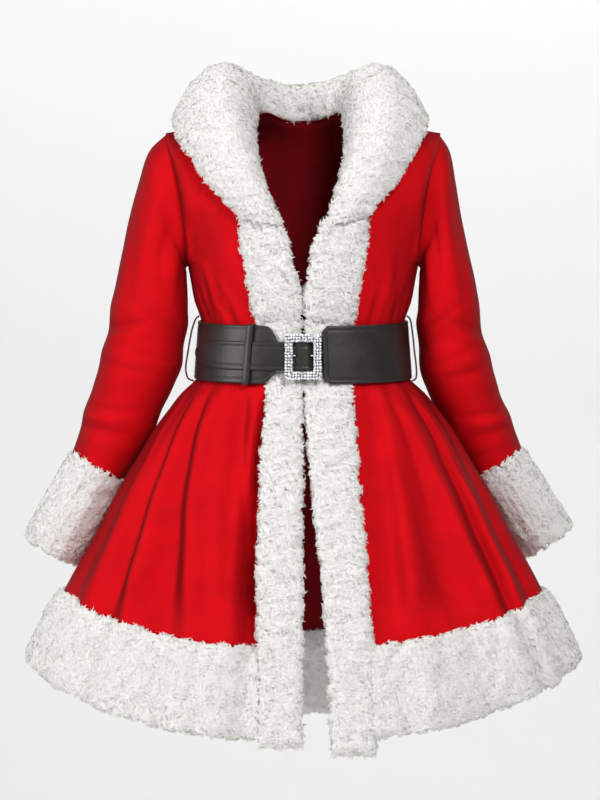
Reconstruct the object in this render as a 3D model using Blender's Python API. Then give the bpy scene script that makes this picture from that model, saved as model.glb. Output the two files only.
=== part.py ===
"""A velvet coat dress with plush trim and a wide belt, filled out as if worn.

Metres, +Z up. The front faces -Y and +X is on the right of the front view. The origin is at the height of the
nape seam, in the middle of the neck. "Drop" is a distance measured down from that height.
"""

from collections import namedtuple

import bpy
import numpy as np

SEAM_GAP = 0.0003
HALF_GAP = SEAM_GAP / 2
STRIP_SEAM_GAP = 0.0011
VELVET = 0.002
SEAM_PLANE_REACH = 0.001
FUR_HALF = 0.011
FUR_HALF_UNDER_BELT = 0.0050
FUR_EDGE_SHARE, FUR_EDGE_POWER = 0.35, 3
CUFF_FUR_HALF = 0.008
SECTION_POWER = 2.2
SHARP_DEGREES = 50

WAIST_DROP = 0.324
UNDERARM_DROP = 0.207
SHOULDER_TIP_DROP = 0.024
SEAM_DROP_MIDDLE, SEAM_DROP_SIDE = 0.725, 0.657
HEM_DROP_MIDDLE, HEM_DROP_SIDE = 0.850, 0.756

BELT_HALF_HEIGHT = 0.0395
BELT_DIP = 0.010
BELT_THICKNESS = 0.003
BELT_CLEARANCE = 0.0015
BELT_FRONT_CLEARANCE, BELT_CLEARANCE_POWER = 0.0045, 1.5
TONGUE_HALF_HEIGHT = 0.0193
TONGUE_THICKNESS = 0.0026
BUCKLE_HALF_WIDTH, BUCKLE_HALF_HEIGHT = 0.0245, 0.0305
WINDOW_HALF_WIDTH, WINDOW_HALF_HEIGHT = 0.0135, 0.0200
BUCKLE_DEPTH, BUCKLE_SIDE_SHARE = 0.005, 0.7

ROWS_BODICE, ROWS_ARMHOLE = 5, 8
COLUMNS_FRONT, COLUMNS_BACK = 14, 24
ROWS_SKIRT, COLUMNS_SKIRT_FRONT, COLUMNS_SKIRT_BACK = 9, 26, 40
SKIRT_SHARES_UNDER_BELT, SKIRT_FLARE_SHARE = (0.0, 0.075, 0.120), 0.165
PANEL_STEPS = 4
ROWS_SLEEVE, ROWS_CUFF = 18, 5
ROWS_HEM, COLUMNS_STRIP = 5, 5
STRIP_ROWS_ABOVE, STRIP_ROWS_UNDER, STRIP_ROWS_BELOW = 8, 3, 14
STRIP_END_SHARES = (0.45, 0.12, 0.0)
ROWS_COLLAR, COLUMNS_COLLAR = 32, 8

BodyRow = namedtuple("BodyRow", "drop half_width front_depth back_depth")
BODY = (
    BodyRow(0.1780, 0.1620, 0.115, 0.104),
    BodyRow(0.2070, 0.1600, 0.113, 0.102),
    BodyRow(0.2290, 0.1560, 0.110, 0.100),
    BodyRow(0.2560, 0.1505, 0.105, 0.097),
    BodyRow(0.2840, 0.1415, 0.099, 0.093),
    BodyRow(0.3240, 0.1430, 0.096, 0.091),
    BodyRow(0.3640, 0.1470, 0.098, 0.094),
    BodyRow(0.3850, 0.1690, 0.104, 0.102),
    BodyRow(0.4070, 0.1860, 0.108, 0.107),
    BodyRow(0.4310, 0.2040, 0.112, 0.111),
    BodyRow(0.4820, 0.2340, 0.120, 0.120),
    BodyRow(0.5230, 0.2590, 0.127, 0.128),
    BodyRow(0.5800, 0.2880, 0.136, 0.138),
    BodyRow(0.6200, 0.3110, 0.143, 0.145),
    BodyRow(0.6570, 0.3310, 0.149, 0.151),
    BodyRow(0.7300, 0.3680, 0.160, 0.162),
    BodyRow(0.8600, 0.4250, 0.177, 0.179),
)

# Above the underarm each row runs from the neckline to the armhole, so it has a drop at both ends. Both tables
# reach one row past the underarm, which gives them the same slope there.
YokeRow = namedtuple("YokeRow", "side_drop inner_drop side_x front_depth back_depth neck_bulge")
YOKE = (
    YokeRow(0.024, 0.006, 0.191, 0.0002, 0.0002, 0.069),
    YokeRow(0.042, 0.028, 0.187, 0.0580, 0.0700, 0.016),
    YokeRow(0.068, 0.060, 0.180, 0.0920, 0.0940, 0.004),
    YokeRow(0.104, 0.102, 0.172, 0.1090, 0.1030, 0.000),
    YokeRow(0.143, 0.143, 0.166, 0.1160, 0.1050, 0.000),
    YokeRow(0.178, 0.178, 0.162, 0.1150, 0.1040, 0.000),
    YokeRow(0.207, 0.207, 0.160, 0.1130, 0.1020, 0.000),
    YokeRow(0.229, 0.229, 0.156, 0.1100, 0.1000, 0.000),
)
ARMHOLE_DEPTH, ARMHOLE_EASE_START = 0.051, 0.55
NECK_HALF_WIDTH, NECK_RISE = 0.075, 0.006
BODICE_CENTRE_DROP = 0.12

# The velvet's front edge above the strips, as distances from the middle.
NeckEdge = namedtuple("NeckEdge", "drop half_width")
NECK_EDGE = (
    NeckEdge(0.006, 0.0700),
    NeckEdge(0.025, 0.0780),
    NeckEdge(0.060, 0.0860),
    NeckEdge(0.100, 0.0930),
    NeckEdge(0.126, 0.0935),
    NeckEdge(0.148, 0.0875),
)

TrimRow = namedtuple("TrimRow", "drop left_outer left_inner right_inner right_outer")
TRIM = (
    TrimRow(0.140, 0.0860, 0.0400, 0.0360, 0.0860),
    TrimRow(0.164, 0.0850, 0.0250, 0.0210, 0.0880),
    TrimRow(0.213, 0.0790, 0.0130, 0.0090, 0.0820),
    TrimRow(0.262, 0.0710, 0.0015, 0.0015, 0.0740),
    TrimRow(0.300, 0.0600, 0.0012, 0.0012, 0.0690),
    TrimRow(0.340, 0.0560, 0.0012, 0.0012, 0.0680),
    TrimRow(0.392, 0.0500, 0.0012, 0.0015, 0.0670),
    TrimRow(0.456, 0.0560, 0.0012, 0.0060, 0.0720),
    TrimRow(0.524, 0.0590, 0.0012, 0.0130, 0.0770),
    TrimRow(0.588, 0.0610, 0.0012, 0.0200, 0.0830),
    TrimRow(0.659, 0.0620, 0.0012, 0.0270, 0.0890),
    TrimRow(0.730, 0.0600, 0.0012, 0.0320, 0.0940),
    TrimRow(0.870, 0.0610, 0.0012, 0.0380, 0.0980),
)
STRIP_TOP_INNER, STRIP_TOP_OUTER = 0.1637, 0.1472
STRIP_BOTTOM_DROP = {"left": 0.858, "right": 0.868}

# Angles are in degrees from the middle of the front, positive towards +X, and depths are measured outwards.
Fold = namedtuple("Fold", "waist_angle hem_angle width depth")
FOLDS = (
    Fold(-27.0, -9.5, 3.0, -0.024),
    Fold(-36.0, -15.0, 4.0, 0.008),
    Fold(-47.0, -23.2, 3.4, 0.018),
    Fold(-51.0, -28.5, 4.0, -0.012),
    Fold(-57.5, -41.5, 3.6, 0.016),
    Fold(-62.0, -46.5, 4.2, -0.012),
    Fold(-72.0, -58.0, 4.5, 0.007),
    Fold(-79.0, -68.0, 5.0, -0.006),
    Fold(29.0, 18.5, 3.4, -0.011),
    Fold(36.0, 22.5, 3.4, 0.014),
    Fold(39.5, 36.0, 4.5, -0.010),
    Fold(43.0, 49.0, 3.6, 0.013),
    Fold(57.0, 53.5, 3.2, -0.010),
    Fold(62.0, 57.5, 3.4, 0.013),
    Fold(74.0, 66.0, 4.5, -0.006),
    Fold(85.0, 76.0, 5.0, 0.004),
    Fold(103.0, 104.0, 5.5, 0.006),
    Fold(115.0, 116.0, 6.0, -0.011),
    Fold(127.0, 128.0, 5.0, 0.011),
    Fold(139.0, 141.0, 6.0, -0.012),
    Fold(152.0, 154.0, 5.0, 0.011),
    Fold(165.0, 166.0, 6.0, -0.011),
    Fold(178.0, 177.0, 5.0, 0.011),
    Fold(190.0, 189.0, 6.0, -0.010),
    Fold(203.0, 201.0, 5.0, 0.011),
    Fold(215.0, 213.0, 6.0, -0.012),
    Fold(228.0, 226.0, 5.0, 0.009),
    Fold(240.0, 238.0, 6.0, -0.011),
    Fold(254.0, 252.0, 5.5, 0.002),
)
FOLD_START_DROP, FOLD_FULL_DROP = 0.376, 0.700
FOLD_WAIST_SPREAD, FOLD_WAIST_SHARE, FOLD_EASE = 1.6, 0.35, 0.12
FOLD_RUN_POWER = 0.7
FOLD_STEEP_SHARE, FOLD_GENTLE_SHARE = 0.6, 1.4
FOLD_SOFTENING_START, FOLD_HEM_SHARE = 0.80, 0.45
GATHER_DEPTH, GATHER_SPACING = 0.0016, 9.0
GATHER_TOP_DROP, GATHER_FULL_DROP, GATHER_FADE = 0.220, 0.262, 0.010
GATHER_FIRST_DEGREES, GATHER_LAST_DEGREES, GATHER_EASE_DEGREES = 28.0, 152.0, 8.0

# Each row crosses the sleeve from its outer to its inner outline, seen from the front.
SleeveRow = namedtuple("SleeveRow", "outer_x outer_drop inner_x inner_drop half_depth middle_y")
SLEEVES = {
    "left": (
        SleeveRow(0.2140, 0.050, 0.1625, 0.2110, 0.054, 0.000),
        SleeveRow(0.2280, 0.092, 0.1618, 0.2180, 0.056, 0.000),
        SleeveRow(0.2410, 0.140, 0.1614, 0.2280, 0.057, 0.000),
        SleeveRow(0.2510, 0.188, 0.1605, 0.2440, 0.057, 0.001),
        SleeveRow(0.2600, 0.232, 0.1600, 0.2660, 0.056, 0.002),
        SleeveRow(0.2680, 0.274, 0.1620, 0.2980, 0.055, 0.004),
        SleeveRow(0.2760, 0.314, 0.1670, 0.3360, 0.055, 0.008),
        SleeveRow(0.2860, 0.354, 0.1800, 0.3740, 0.055, 0.013),
        SleeveRow(0.3000, 0.392, 0.1990, 0.4160, 0.053, 0.020),
        SleeveRow(0.3100, 0.430, 0.2200, 0.4580, 0.050, 0.030),
        SleeveRow(0.3220, 0.464, 0.2497, 0.5050, 0.048, 0.040),
    ),
    "right": (
        SleeveRow(0.2040, 0.050, 0.1625, 0.2110, 0.053, 0.000),
        SleeveRow(0.2120, 0.092, 0.1618, 0.2180, 0.055, 0.000),
        SleeveRow(0.2200, 0.140, 0.1614, 0.2280, 0.056, 0.000),
        SleeveRow(0.2300, 0.188, 0.1605, 0.2440, 0.056, 0.001),
        SleeveRow(0.2400, 0.232, 0.1600, 0.2660, 0.055, 0.003),
        SleeveRow(0.2460, 0.276, 0.1590, 0.2960, 0.055, 0.010),
        SleeveRow(0.2560, 0.318, 0.1620, 0.3400, 0.055, 0.020),
        SleeveRow(0.2680, 0.358, 0.1760, 0.3860, 0.054, 0.034),
        SleeveRow(0.2820, 0.396, 0.1960, 0.4280, 0.052, 0.048),
        SleeveRow(0.2960, 0.430, 0.2150, 0.4640, 0.050, 0.060),
        SleeveRow(0.3080, 0.460, 0.2377, 0.5050, 0.048, 0.070),
    ),
}
WrinkleRow = namedtuple("WrinkleRow", "share height")
SLEEVE_WRINKLES = (
    WrinkleRow(0.52, 0.0030),
    WrinkleRow(0.60, -0.0030),
    WrinkleRow(0.67, 0.0030),
    WrinkleRow(0.80, -0.0025),
    WrinkleRow(0.87, 0.0025),
)
WRINKLE_WIDTH = 0.035

CuffSize = namedtuple("CuffSize", "top_x top_drop top_y bottom_x bottom_drop bottom_y")
CUFFS = {
    "left": CuffSize(0.2859, 0.4845, 0.040, 0.3560, 0.6080, 0.056),
    "right": CuffSize(0.2729, 0.4825, 0.070, 0.3480, 0.5970, 0.092),
}
CUFF_HALF_WIDTH, CUFF_HALF_DEPTH = 0.0385, 0.0450

# One row for each section of the collar, from the middle of the back to the front end: the seam, the point that
# the roll reaches for, and the falling edge.
CollarRow = namedtuple("CollarRow", "seam roll edge")
COLLAR = (
    CollarRow((0.000, 0.0720, 0.0015), (0.000, 0.0900, 0.112), (0.000, 0.1110, -0.055)),
    CollarRow((0.045, 0.0500, 0.0010), (0.062, 0.0720, 0.120), (0.118, 0.0900, -0.045)),
    CollarRow((0.062, 0.0220, -0.0020), (0.086, 0.0320, 0.130), (0.162, 0.0420, -0.026)),
    CollarRow((0.064, -0.0100, -0.0060), (0.094, -0.0160, 0.132), (0.175, -0.0080, -0.010)),
    CollarRow((0.065, -0.0450, -0.0280), (0.102, -0.0720, 0.078), (0.171, -0.0500, -0.030)),
    CollarRow((0.063, -0.0800, -0.0620), (0.098, -0.1250, -0.002), (0.153, -0.0840, -0.064)),
    CollarRow((0.053, -0.1060, -0.1050), (0.080, -0.1360, -0.074), (0.128, -0.1040, -0.101)),
    CollarRow((0.040, -0.1180, -0.1400), (0.062, -0.1330, -0.122), (0.101, -0.1140, -0.130)),
    CollarRow((0.030, -0.1170, -0.1600), (0.056, -0.1260, -0.152), (0.0855, -0.1115, -0.1435)),
)
COLLAR_SHIFT = -0.005

BELT_PRESS_TOP, BELT_PRESS_BOTTOM = 0.281, 0.387
BELT_PRESS_EASE = 0.011
END_ROUNDING = 0.016
STRIP_LEVEL_DROP = 0.260

BELT_COLUMNS, BELT_ROWS = 22, 2
BeltEnd = namedtuple("BeltEnd", "x half_height")
BELT_LEFT_END = (
    BeltEnd(-0.0045, 0.0180),
    BeltEnd(-0.0330, 0.0180),
    BeltEnd(-0.0365, 0.0262),
    BeltEnd(-0.0420, 0.0345),
    BeltEnd(-0.0475, 0.0388),
    BeltEnd(-0.0550, 0.0395),
)
BELT_RIGHT_END = (
    BeltEnd(0.0245, 0.0315),
    BeltEnd(0.0325, 0.0395),
)
TONGUE_START, TONGUE_ROUND, TONGUE_END = 0.0240, -0.1330, -0.1405
TONGUE_RISE_START, TONGUE_RISE_END = 0.016, 0.005
TONGUE_COLUMNS, TONGUE_TIP_COLUMNS = 26, 5
TONGUE_TIP_SHARE = 0.25
TONGUE_LOWERING = 0.002
KEEPER_X, KEEPER_WIDTH = -0.069, 0.008
KEEPER_WALL, KEEPER_ROOM, KEEPER_CORNER = 0.0014, 0.0005, 0.0006
BUCKLE_DROP = 0.3365
BUCKLE_BACK_Y = -0.1119
BUCKLE_BEVEL, BUCKLE_CORNER = 0.0012, 0.003
BAR_HALF_HEIGHT, BAR_Y, BAR_BEND, BAR_RADIUS = 0.0235, -0.1069, 0.0015, 0.0013
THREAD_RADIUS, ROD_BEVEL_STEPS = 0.0013, 1
LOOP_STEPS = 10
LoopPoint = namedtuple("LoopPoint", "x drop")
LOOPS = {
    "left": (
        LoopPoint(0.1449, 0.2780),
        LoopPoint(0.1495, 0.2830),
        LoopPoint(0.1550, 0.3000),
        LoopPoint(0.1600, 0.3280),
        LoopPoint(0.1630, 0.3500),
        LoopPoint(0.1600, 0.3640),
        LoopPoint(0.1527, 0.3680),
    ),
    "right": (
        LoopPoint(0.1449, 0.2780),
        LoopPoint(0.1490, 0.2830),
        LoopPoint(0.1520, 0.3000),
        LoopPoint(0.1550, 0.3280),
        LoopPoint(0.1575, 0.3500),
        LoopPoint(0.1570, 0.3640),
        LoopPoint(0.1527, 0.3680),
    ),
}

Finish = namedtuple("Finish", "name colour roughness metallic")
RED_VELVET = Finish("red velvet", (0.62, 0.005, 0.008), 0.75, 0.0)
WHITE_PLUSH = Finish("white plush", (0.86, 0.86, 0.84), 0.95, 0.0)
BLACK_LEATHER = Finish("black leatherette", (0.022, 0.020, 0.020), 0.45, 0.0)
SILVER = Finish("silver", (0.82, 0.82, 0.84), 0.22, 1.0)


def clear_scene():
    for item in list(bpy.data.objects):
        bpy.data.objects.remove(item)


def material(finish):
    found = bpy.data.materials.get(finish.name)
    if found:
        return found
    made = bpy.data.materials.new(finish.name)
    made.use_nodes = True
    shader = made.node_tree.nodes["Principled BSDF"]
    shader.inputs["Base Color"].default_value = (*finish.colour, 1.0)
    shader.inputs["Roughness"].default_value = finish.roughness
    shader.inputs["Metallic"].default_value = finish.metallic
    return made


def smooth(knots, values, at):
    """A smooth curve through the values: cubic pieces whose slopes are finite differences."""
    knots, values, at = (np.asarray(each, float) for each in (knots, values, at))
    slopes = np.gradient(values, knots)
    low = np.clip(np.searchsorted(knots, at) - 1, 0, len(knots) - 2)
    step = knots[low + 1] - knots[low]
    u = np.clip((at - knots[low]) / step, 0.0, 1.0)
    start, end = values[low], values[low + 1]
    ease = u * u * (3 - 2 * u)
    rise = u * (1 - u) * ((1 - u) * slopes[low] - u * slopes[low + 1]) * step
    return start + (end - start) * ease + rise


def column(table, name):
    return [getattr(row, name) for row in table]


def from_table(table, name, drop):
    return smooth(column(table, "drop"), column(table, name), drop)


def soft_step(value, low, high):
    u = np.clip((value - low) / (high - low), 0.0, 1.0)
    return u * u * (3 - 2 * u)


def power(value, exponent):
    return np.sign(value) * np.abs(value) ** exponent


def oval(angle, half_width, depth):
    """A point of a slightly squared oval. The angle is 0 at the front and 90 degrees at +X."""
    x = half_width * power(np.sin(angle), 2 / SECTION_POWER)
    y = -depth * power(np.cos(angle), 2 / SECTION_POWER)
    return x, y


def oval_angle(x, half_width):
    """The angle at which the front of the oval passes over x."""
    return np.arcsin(np.clip(power(x / half_width, SECTION_POWER / 2), -1.0, 1.0))


def fold_height(angle, drop):
    """How far the skirt's folds move its surface outwards. They are steep on one side, and softer at the hem."""
    degrees = np.degrees(angle)
    degrees = np.where(degrees < -90, degrees + 360, degrees)
    down = np.clip((drop - FOLD_START_DROP) / (FOLD_FULL_DROP - FOLD_START_DROP), 0.0, 1.0)
    grown = FOLD_WAIST_SHARE * soft_step(down, 0.0, FOLD_EASE) + (1 - FOLD_WAIST_SHARE) * down
    softened = soft_step(down, FOLD_SOFTENING_START, 1.0)
    grown = grown * (1 + (FOLD_HEM_SHARE - 1) * softened)
    spread = FOLD_WAIST_SPREAD + (1 - FOLD_WAIST_SPREAD) * down
    total = np.zeros(np.broadcast(degrees, drop).shape)
    for fold in FOLDS:
        across = degrees - fold.waist_angle - (fold.hem_angle - fold.waist_angle) * down**FOLD_RUN_POWER
        steep_side = across * fold.depth < 0
        lean = np.where(steep_side, FOLD_STEEP_SHARE, FOLD_GENTLE_SHARE)
        width = fold.width * spread * (lean + (1 - lean) * softened)
        total += fold.depth * np.exp(-((across / width) ** 2)) * grown
    return total


def gather_height(angle, drop):
    """Shallow gathers just above the belt, fading out before the middle of the front and the side."""
    degrees = np.abs(np.degrees(angle))
    wave = np.cos(2 * np.pi * degrees / GATHER_SPACING)
    ease = GATHER_EASE_DEGREES
    across = soft_step(degrees, GATHER_FIRST_DEGREES, GATHER_FIRST_DEGREES + ease)
    across = across * soft_step(GATHER_LAST_DEGREES - degrees, 0.0, ease)
    belt_top = WAIST_DROP + BELT_DIP * np.cos(angle) - BELT_HALF_HEIGHT
    up = soft_step(drop, GATHER_TOP_DROP, GATHER_FULL_DROP)
    up = up * soft_step(belt_top - drop, 0.0, GATHER_FADE)
    return GATHER_DEPTH * wave * across * up


def surface_relief(angle, drop):
    return fold_height(angle, drop) + gather_height(angle, drop)


def body_point(angle, drop, outwards=0.0):
    """The dress below the underarm: an oval at each drop, with its folds along the oval's normal."""
    angle, drop = np.broadcast_arrays(np.asarray(angle, float), np.asarray(drop, float))
    half_width = from_table(BODY, "half_width", drop)
    front = from_table(BODY, "front_depth", drop)
    back = from_table(BODY, "back_depth", drop)
    depth = np.where(np.cos(angle) >= 0, front, back)
    x, y = oval(angle, half_width, depth)
    normal = np.stack([np.sin(angle) / half_width, -np.cos(angle) / depth], -1)
    normal /= np.linalg.norm(normal, axis=-1, keepdims=True)
    out = surface_relief(angle, drop) + outwards
    return np.stack([x + normal[..., 0] * out, y + normal[..., 1] * out, -drop], -1)


def normals(grid, around=False):
    """Unit normals of a grid of points, from its neighbours along both ways."""
    down = np.gradient(grid, axis=0)
    if around:
        across = (np.roll(grid, -1, axis=1) - np.roll(grid, 1, axis=1)) / 2
    else:
        across = np.gradient(grid, axis=1)
    found = np.cross(across, down)
    return found / np.linalg.norm(found, axis=-1, keepdims=True)


def turned_out(vectors, grid, centre):
    """The same normals, all pointing away from the centre line."""
    middle = grid - centre
    sign = np.sign((vectors * middle).sum(axis=-1).mean())
    return vectors * sign


def triangles(grid):
    a, b = grid[:-1, :-1].ravel(), grid[1:, :-1].ravel()
    c, d = grid[1:, 1:].ravel(), grid[:-1, 1:].ravel()
    return np.concatenate([np.stack([a, b, c], 1), np.stack([a, c, d], 1)])


def strip_between(first, second):
    """Triangles from one row of points to another."""
    return triangles(np.stack([first, second]))


def new_object(name, points, faces, finish):
    corners = points[faces]
    volume = np.einsum("ij,ij->", corners[:, 0], np.cross(corners[:, 1], corners[:, 2]))
    if volume < 0:
        faces = faces[:, ::-1]
    mesh = bpy.data.meshes.new(name)
    mesh.from_pydata(points.tolist(), [], faces.tolist())
    mesh.materials.append(material(finish))
    mesh.shade_smooth()
    mesh.set_sharp_from_angle(angle=np.radians(SHARP_DEGREES))
    made = bpy.data.objects.new(name, mesh)
    bpy.context.scene.collection.objects.link(made)
    return made


def wall(name, outer, inner, finish, around=False):
    """A closed wall between two grids of the same shape, with a rim along each open border."""
    rows, columns = outer.shape[:2]
    points = np.concatenate([outer.reshape(-1, 3), inner.reshape(-1, 3)])
    face = np.arange(rows * columns).reshape(rows, columns)
    if around:
        face = np.concatenate([face, face[:, :1]], axis=1)
    back = face + rows * columns
    parts = [triangles(face), triangles(back)[:, ::-1]]
    parts.append(strip_between(back[0], face[0]))
    parts.append(strip_between(face[-1], back[-1]))
    if not around:
        parts.append(strip_between(face[:, 0], back[:, 0]))
        parts.append(strip_between(back[:, -1], face[:, -1]))
    return new_object(name, points, np.concatenate(parts), finish)


def squared_at_seams(vectors, grid):
    """Normals that stay in the seam's plane, y = 0, so that two panels meet there edge to edge."""
    at_seam = np.abs(grid[..., 1]) < SEAM_PLANE_REACH
    vectors = vectors * np.where(at_seam[..., None], [1.0, 0.0, 1.0], 1.0)
    return vectors / np.linalg.norm(vectors, axis=-1, keepdims=True)


def cloth(name, grid, centre, beside_strip=False):
    """Velvet whose outer face is the grid, thickened towards the centre line. Beside a strip its edge is square."""
    out = squared_at_seams(turned_out(normals(grid), grid, centre), grid)
    if beside_strip:
        out[:, 0, 0] = 0.0
        out[:, 0] /= np.linalg.norm(out[:, 0], axis=-1, keepdims=True)
    return wall(name, grid, grid - out * VELVET, RED_VELVET)


def fur_profile(share):
    """The share of the full fur thickness from one edge (0) to the other (1), rounded at both."""
    round_off = np.sqrt(np.clip(1 - np.abs(2 * share - 1) ** FUR_EDGE_POWER, 0.0, 1.0))
    return FUR_EDGE_SHARE + (1 - FUR_EDGE_SHARE) * round_off


def fur(name, grid, centre, half, around=False):
    """Plush on both sides of the grid. Half is its half thickness at each point."""
    out = turned_out(normals(grid, around), grid, centre)
    if not around:
        out = squared_at_seams(out, grid)
    depth = np.broadcast_to(half, grid.shape[:2])[..., None]
    return wall(name, grid + out * depth, grid - out * depth, WHITE_PLUSH, around)


def edge_shares(count):
    """Shares from 0 to 1 that lie closer together near both ends."""
    return (1 - np.cos(np.linspace(0, np.pi, count + 1))) / 2


def trim_edge(side, which, drop):
    return from_table(TRIM, side + "_" + which, drop)


def strip_seam(side, drop):
    """Where a panel meets the strip: a seam's gap outside the straight runs between the strip's rows."""
    rows = strip_drops(STRIP_BOTTOM_DROP[side])
    return np.interp(drop, rows, trim_edge(side, "outer", rows)) + STRIP_SEAM_GAP


def velvet_edge(side, drop):
    """The distance from the middle at which the velvet of a front panel begins."""
    neck = smooth(column(NECK_EDGE, "drop"), column(NECK_EDGE, "half_width"), drop)
    return np.where(drop < NECK_EDGE[-1].drop, neck, strip_seam(side, drop))


def armhole_depth(side_drop):
    """Half the depth of the armhole, an upright oval from the shoulder tip to the underarm."""
    middle = (UNDERARM_DROP + SHOULDER_TIP_DROP) / 2
    half = (UNDERARM_DROP - SHOULDER_TIP_DROP) / 2
    share = np.clip((side_drop - middle) / half, -1.0, 1.0)
    return HALF_GAP + ARMHOLE_DEPTH * np.sqrt(1 - share**2)


def shoulder_depth(side_drop, angle):
    """The armhole's half depth as it tells across a row: whole at the side, eased near the underarm inside."""
    middle = (UNDERARM_DROP + SHOULDER_TIP_DROP) / 2
    eased = HALF_GAP + ARMHOLE_DEPTH * (1 - soft_step(side_drop, middle, UNDERARM_DROP))
    edge = armhole_depth(side_drop)
    inside = np.minimum(edge, eased)
    near = soft_step(np.abs(np.sin(angle)), ARMHOLE_EASE_START, 1.0) ** 2
    return inside + (edge - inside) * near


def armhole_drops():
    angles = np.linspace(0, np.pi, ROWS_ARMHOLE + 1)
    middle = (UNDERARM_DROP + SHOULDER_TIP_DROP) / 2
    return middle - (UNDERARM_DROP - SHOULDER_TIP_DROP) / 2 * np.cos(angles)


def bodice_drops():
    low = np.linspace(UNDERARM_DROP, WAIST_DROP - BELT_HALF_HEIGHT, ROWS_BODICE)
    return np.concatenate([armhole_drops(), low[1:], [WAIST_DROP - HALF_GAP]])


def yoke_value(name, side_drop):
    return smooth(column(YOKE, "side_drop"), column(YOKE, name), side_drop)


def bodice_row(side_drop, depth_name):
    """(side x, depth in the middle, inner drop) of one row of a bodice panel."""
    if side_drop >= UNDERARM_DROP:
        side_x = from_table(BODY, "half_width", side_drop)
        return side_x, from_table(BODY, depth_name, side_drop), side_drop
    return (
        yoke_value("side_x", side_drop),
        yoke_value(depth_name, side_drop),
        yoke_value("inner_drop", side_drop),
    )


def bodice_front(side):
    sign = -1 if side == "left" else 1
    rows = []
    for side_drop in bodice_drops():
        side_x, depth, inner_drop = bodice_row(side_drop, "front_depth")
        start = oval_angle(velvet_edge(side, inner_drop), side_x)
        angle = start + (np.pi / 2 - start) * np.linspace(0, 1, COLUMNS_FRONT + 1)
        side_y = shoulder_depth(side_drop, angle)
        x, y = oval(angle, side_x, np.maximum(depth - side_y, 0.0))
        drop = inner_drop + (side_drop - inner_drop) * (x / side_x) ** 2
        out = gather_height(angle, side_drop)
        x, y = x + out * np.sin(angle), y - side_y - out * np.cos(angle)
        rows.append(np.stack([sign * x, y, -drop], -1))
    cloth("bodice_front_" + side, np.array(rows), bodice_centre(rows))


def bodice_centre(rows):
    """A line inside the bodice that its normals point away from."""
    rows = np.asarray(rows)
    heights = rows[..., 2].clip(None, -BODICE_CENTRE_DROP)
    return heights[..., None] * np.array([0.0, 0.0, 1.0])


def bodice_back():
    rows = []
    for side_drop in bodice_drops():
        side_x, depth, inner_drop = bodice_row(side_drop, "back_depth")
        angle = np.linspace(-np.pi / 2, np.pi / 2, COLUMNS_BACK + 1)
        side_y = shoulder_depth(side_drop, angle)
        x, y = oval(angle, side_x, np.maximum(depth - side_y, 0.0))
        drop = inner_drop + (side_drop - inner_drop) * (x / side_x) ** 2
        neck = np.cos(np.clip(x / NECK_HALF_WIDTH, -1, 1) * np.pi / 2)
        bulge = yoke_value("neck_bulge", side_drop) if side_drop < UNDERARM_DROP else 0.0
        rise = NECK_RISE * neck * (bulge / YOKE[0].neck_bulge)
        out = gather_height(np.pi - angle, side_drop)
        y = side_y - y + bulge * neck + out * np.cos(angle)
        rows.append(np.stack([x + out * np.sin(angle), y, rise - drop], -1))
    cloth("bodice_back", np.array(rows), bodice_centre(rows))


def seam_drop(angle):
    """The drop of the seam between the velvet skirt and the hem band."""
    return SEAM_DROP_MIDDLE - (SEAM_DROP_MIDDLE - SEAM_DROP_SIDE) * np.sin(angle) ** 2


def hem_drop(angle):
    return HEM_DROP_MIDDLE - (HEM_DROP_MIDDLE - HEM_DROP_SIDE) * np.sin(angle) ** 2


def panel_angle(piece, drop, share):
    """The angle at a share of the way across a skirt panel, which follows the strip's edge at the front."""
    if piece == "back":
        first = np.pi / 2 + HALF_GAP / from_table(BODY, "back_depth", drop)
        return first + (2 * np.pi - 2 * first) * share
    start = oval_angle(strip_seam(piece, drop), from_table(BODY, "half_width", drop))
    side = np.pi / 2 - HALF_GAP / from_table(BODY, "front_depth", drop)
    sign = -1 if piece == "left" else 1
    return sign * (start + (side - start) * share)


def panel_grid(piece, top, bottom, shares):
    """Points of a skirt panel or hem band between two edges that are drops as functions of the angle."""
    columns = COLUMNS_SKIRT_BACK if piece == "back" else COLUMNS_SKIRT_FRONT
    across = np.linspace(0, 1, columns + 1)[None, :]
    down = shares[:, None]
    drop = np.full((len(shares), columns + 1), SEAM_DROP_SIDE)
    for _ in range(PANEL_STEPS):
        angle = panel_angle(piece, drop, across)
        drop = top(angle) + (bottom(angle) - top(angle)) * down
    return body_point(angle, drop)


def waist_line(angle):
    return WAIST_DROP + HALF_GAP + 0 * angle


def axis_of(grid):
    """The dress's upright middle line at each point's height."""
    return grid * np.array([0.0, 0.0, 1.0])


def skirt(piece):
    shares = np.concatenate([SKIRT_SHARES_UNDER_BELT, np.linspace(SKIRT_FLARE_SHARE, 1, ROWS_SKIRT)])
    grid = panel_grid(piece, waist_line, lambda angle: seam_drop(angle) - HALF_GAP, shares)
    name = "skirt_back" if piece == "back" else "skirt_front_" + piece
    cloth(name, grid, axis_of(grid), beside_strip=piece != "back")


def hem_band(piece):
    shares = edge_shares(ROWS_HEM)
    grid = panel_grid(piece, lambda angle: seam_drop(angle) + HALF_GAP, hem_drop, shares)
    fur("hem_band_" + piece, grid, axis_of(grid), FUR_HALF * fur_profile(shares)[:, None])


def front_y(x, drop):
    """How far forward the plain front of the dress is at x, as a negative y."""
    low = drop >= UNDERARM_DROP
    half_width = np.where(low, from_table(BODY, "half_width", drop), yoke_value("side_x", drop))
    depth = np.where(low, from_table(BODY, "front_depth", drop), yoke_value("front_depth", drop))
    angle = oval_angle(x, half_width)
    side_y = shoulder_depth(drop, angle)
    return -side_y + oval(angle, half_width, depth - side_y)[1]


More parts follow.
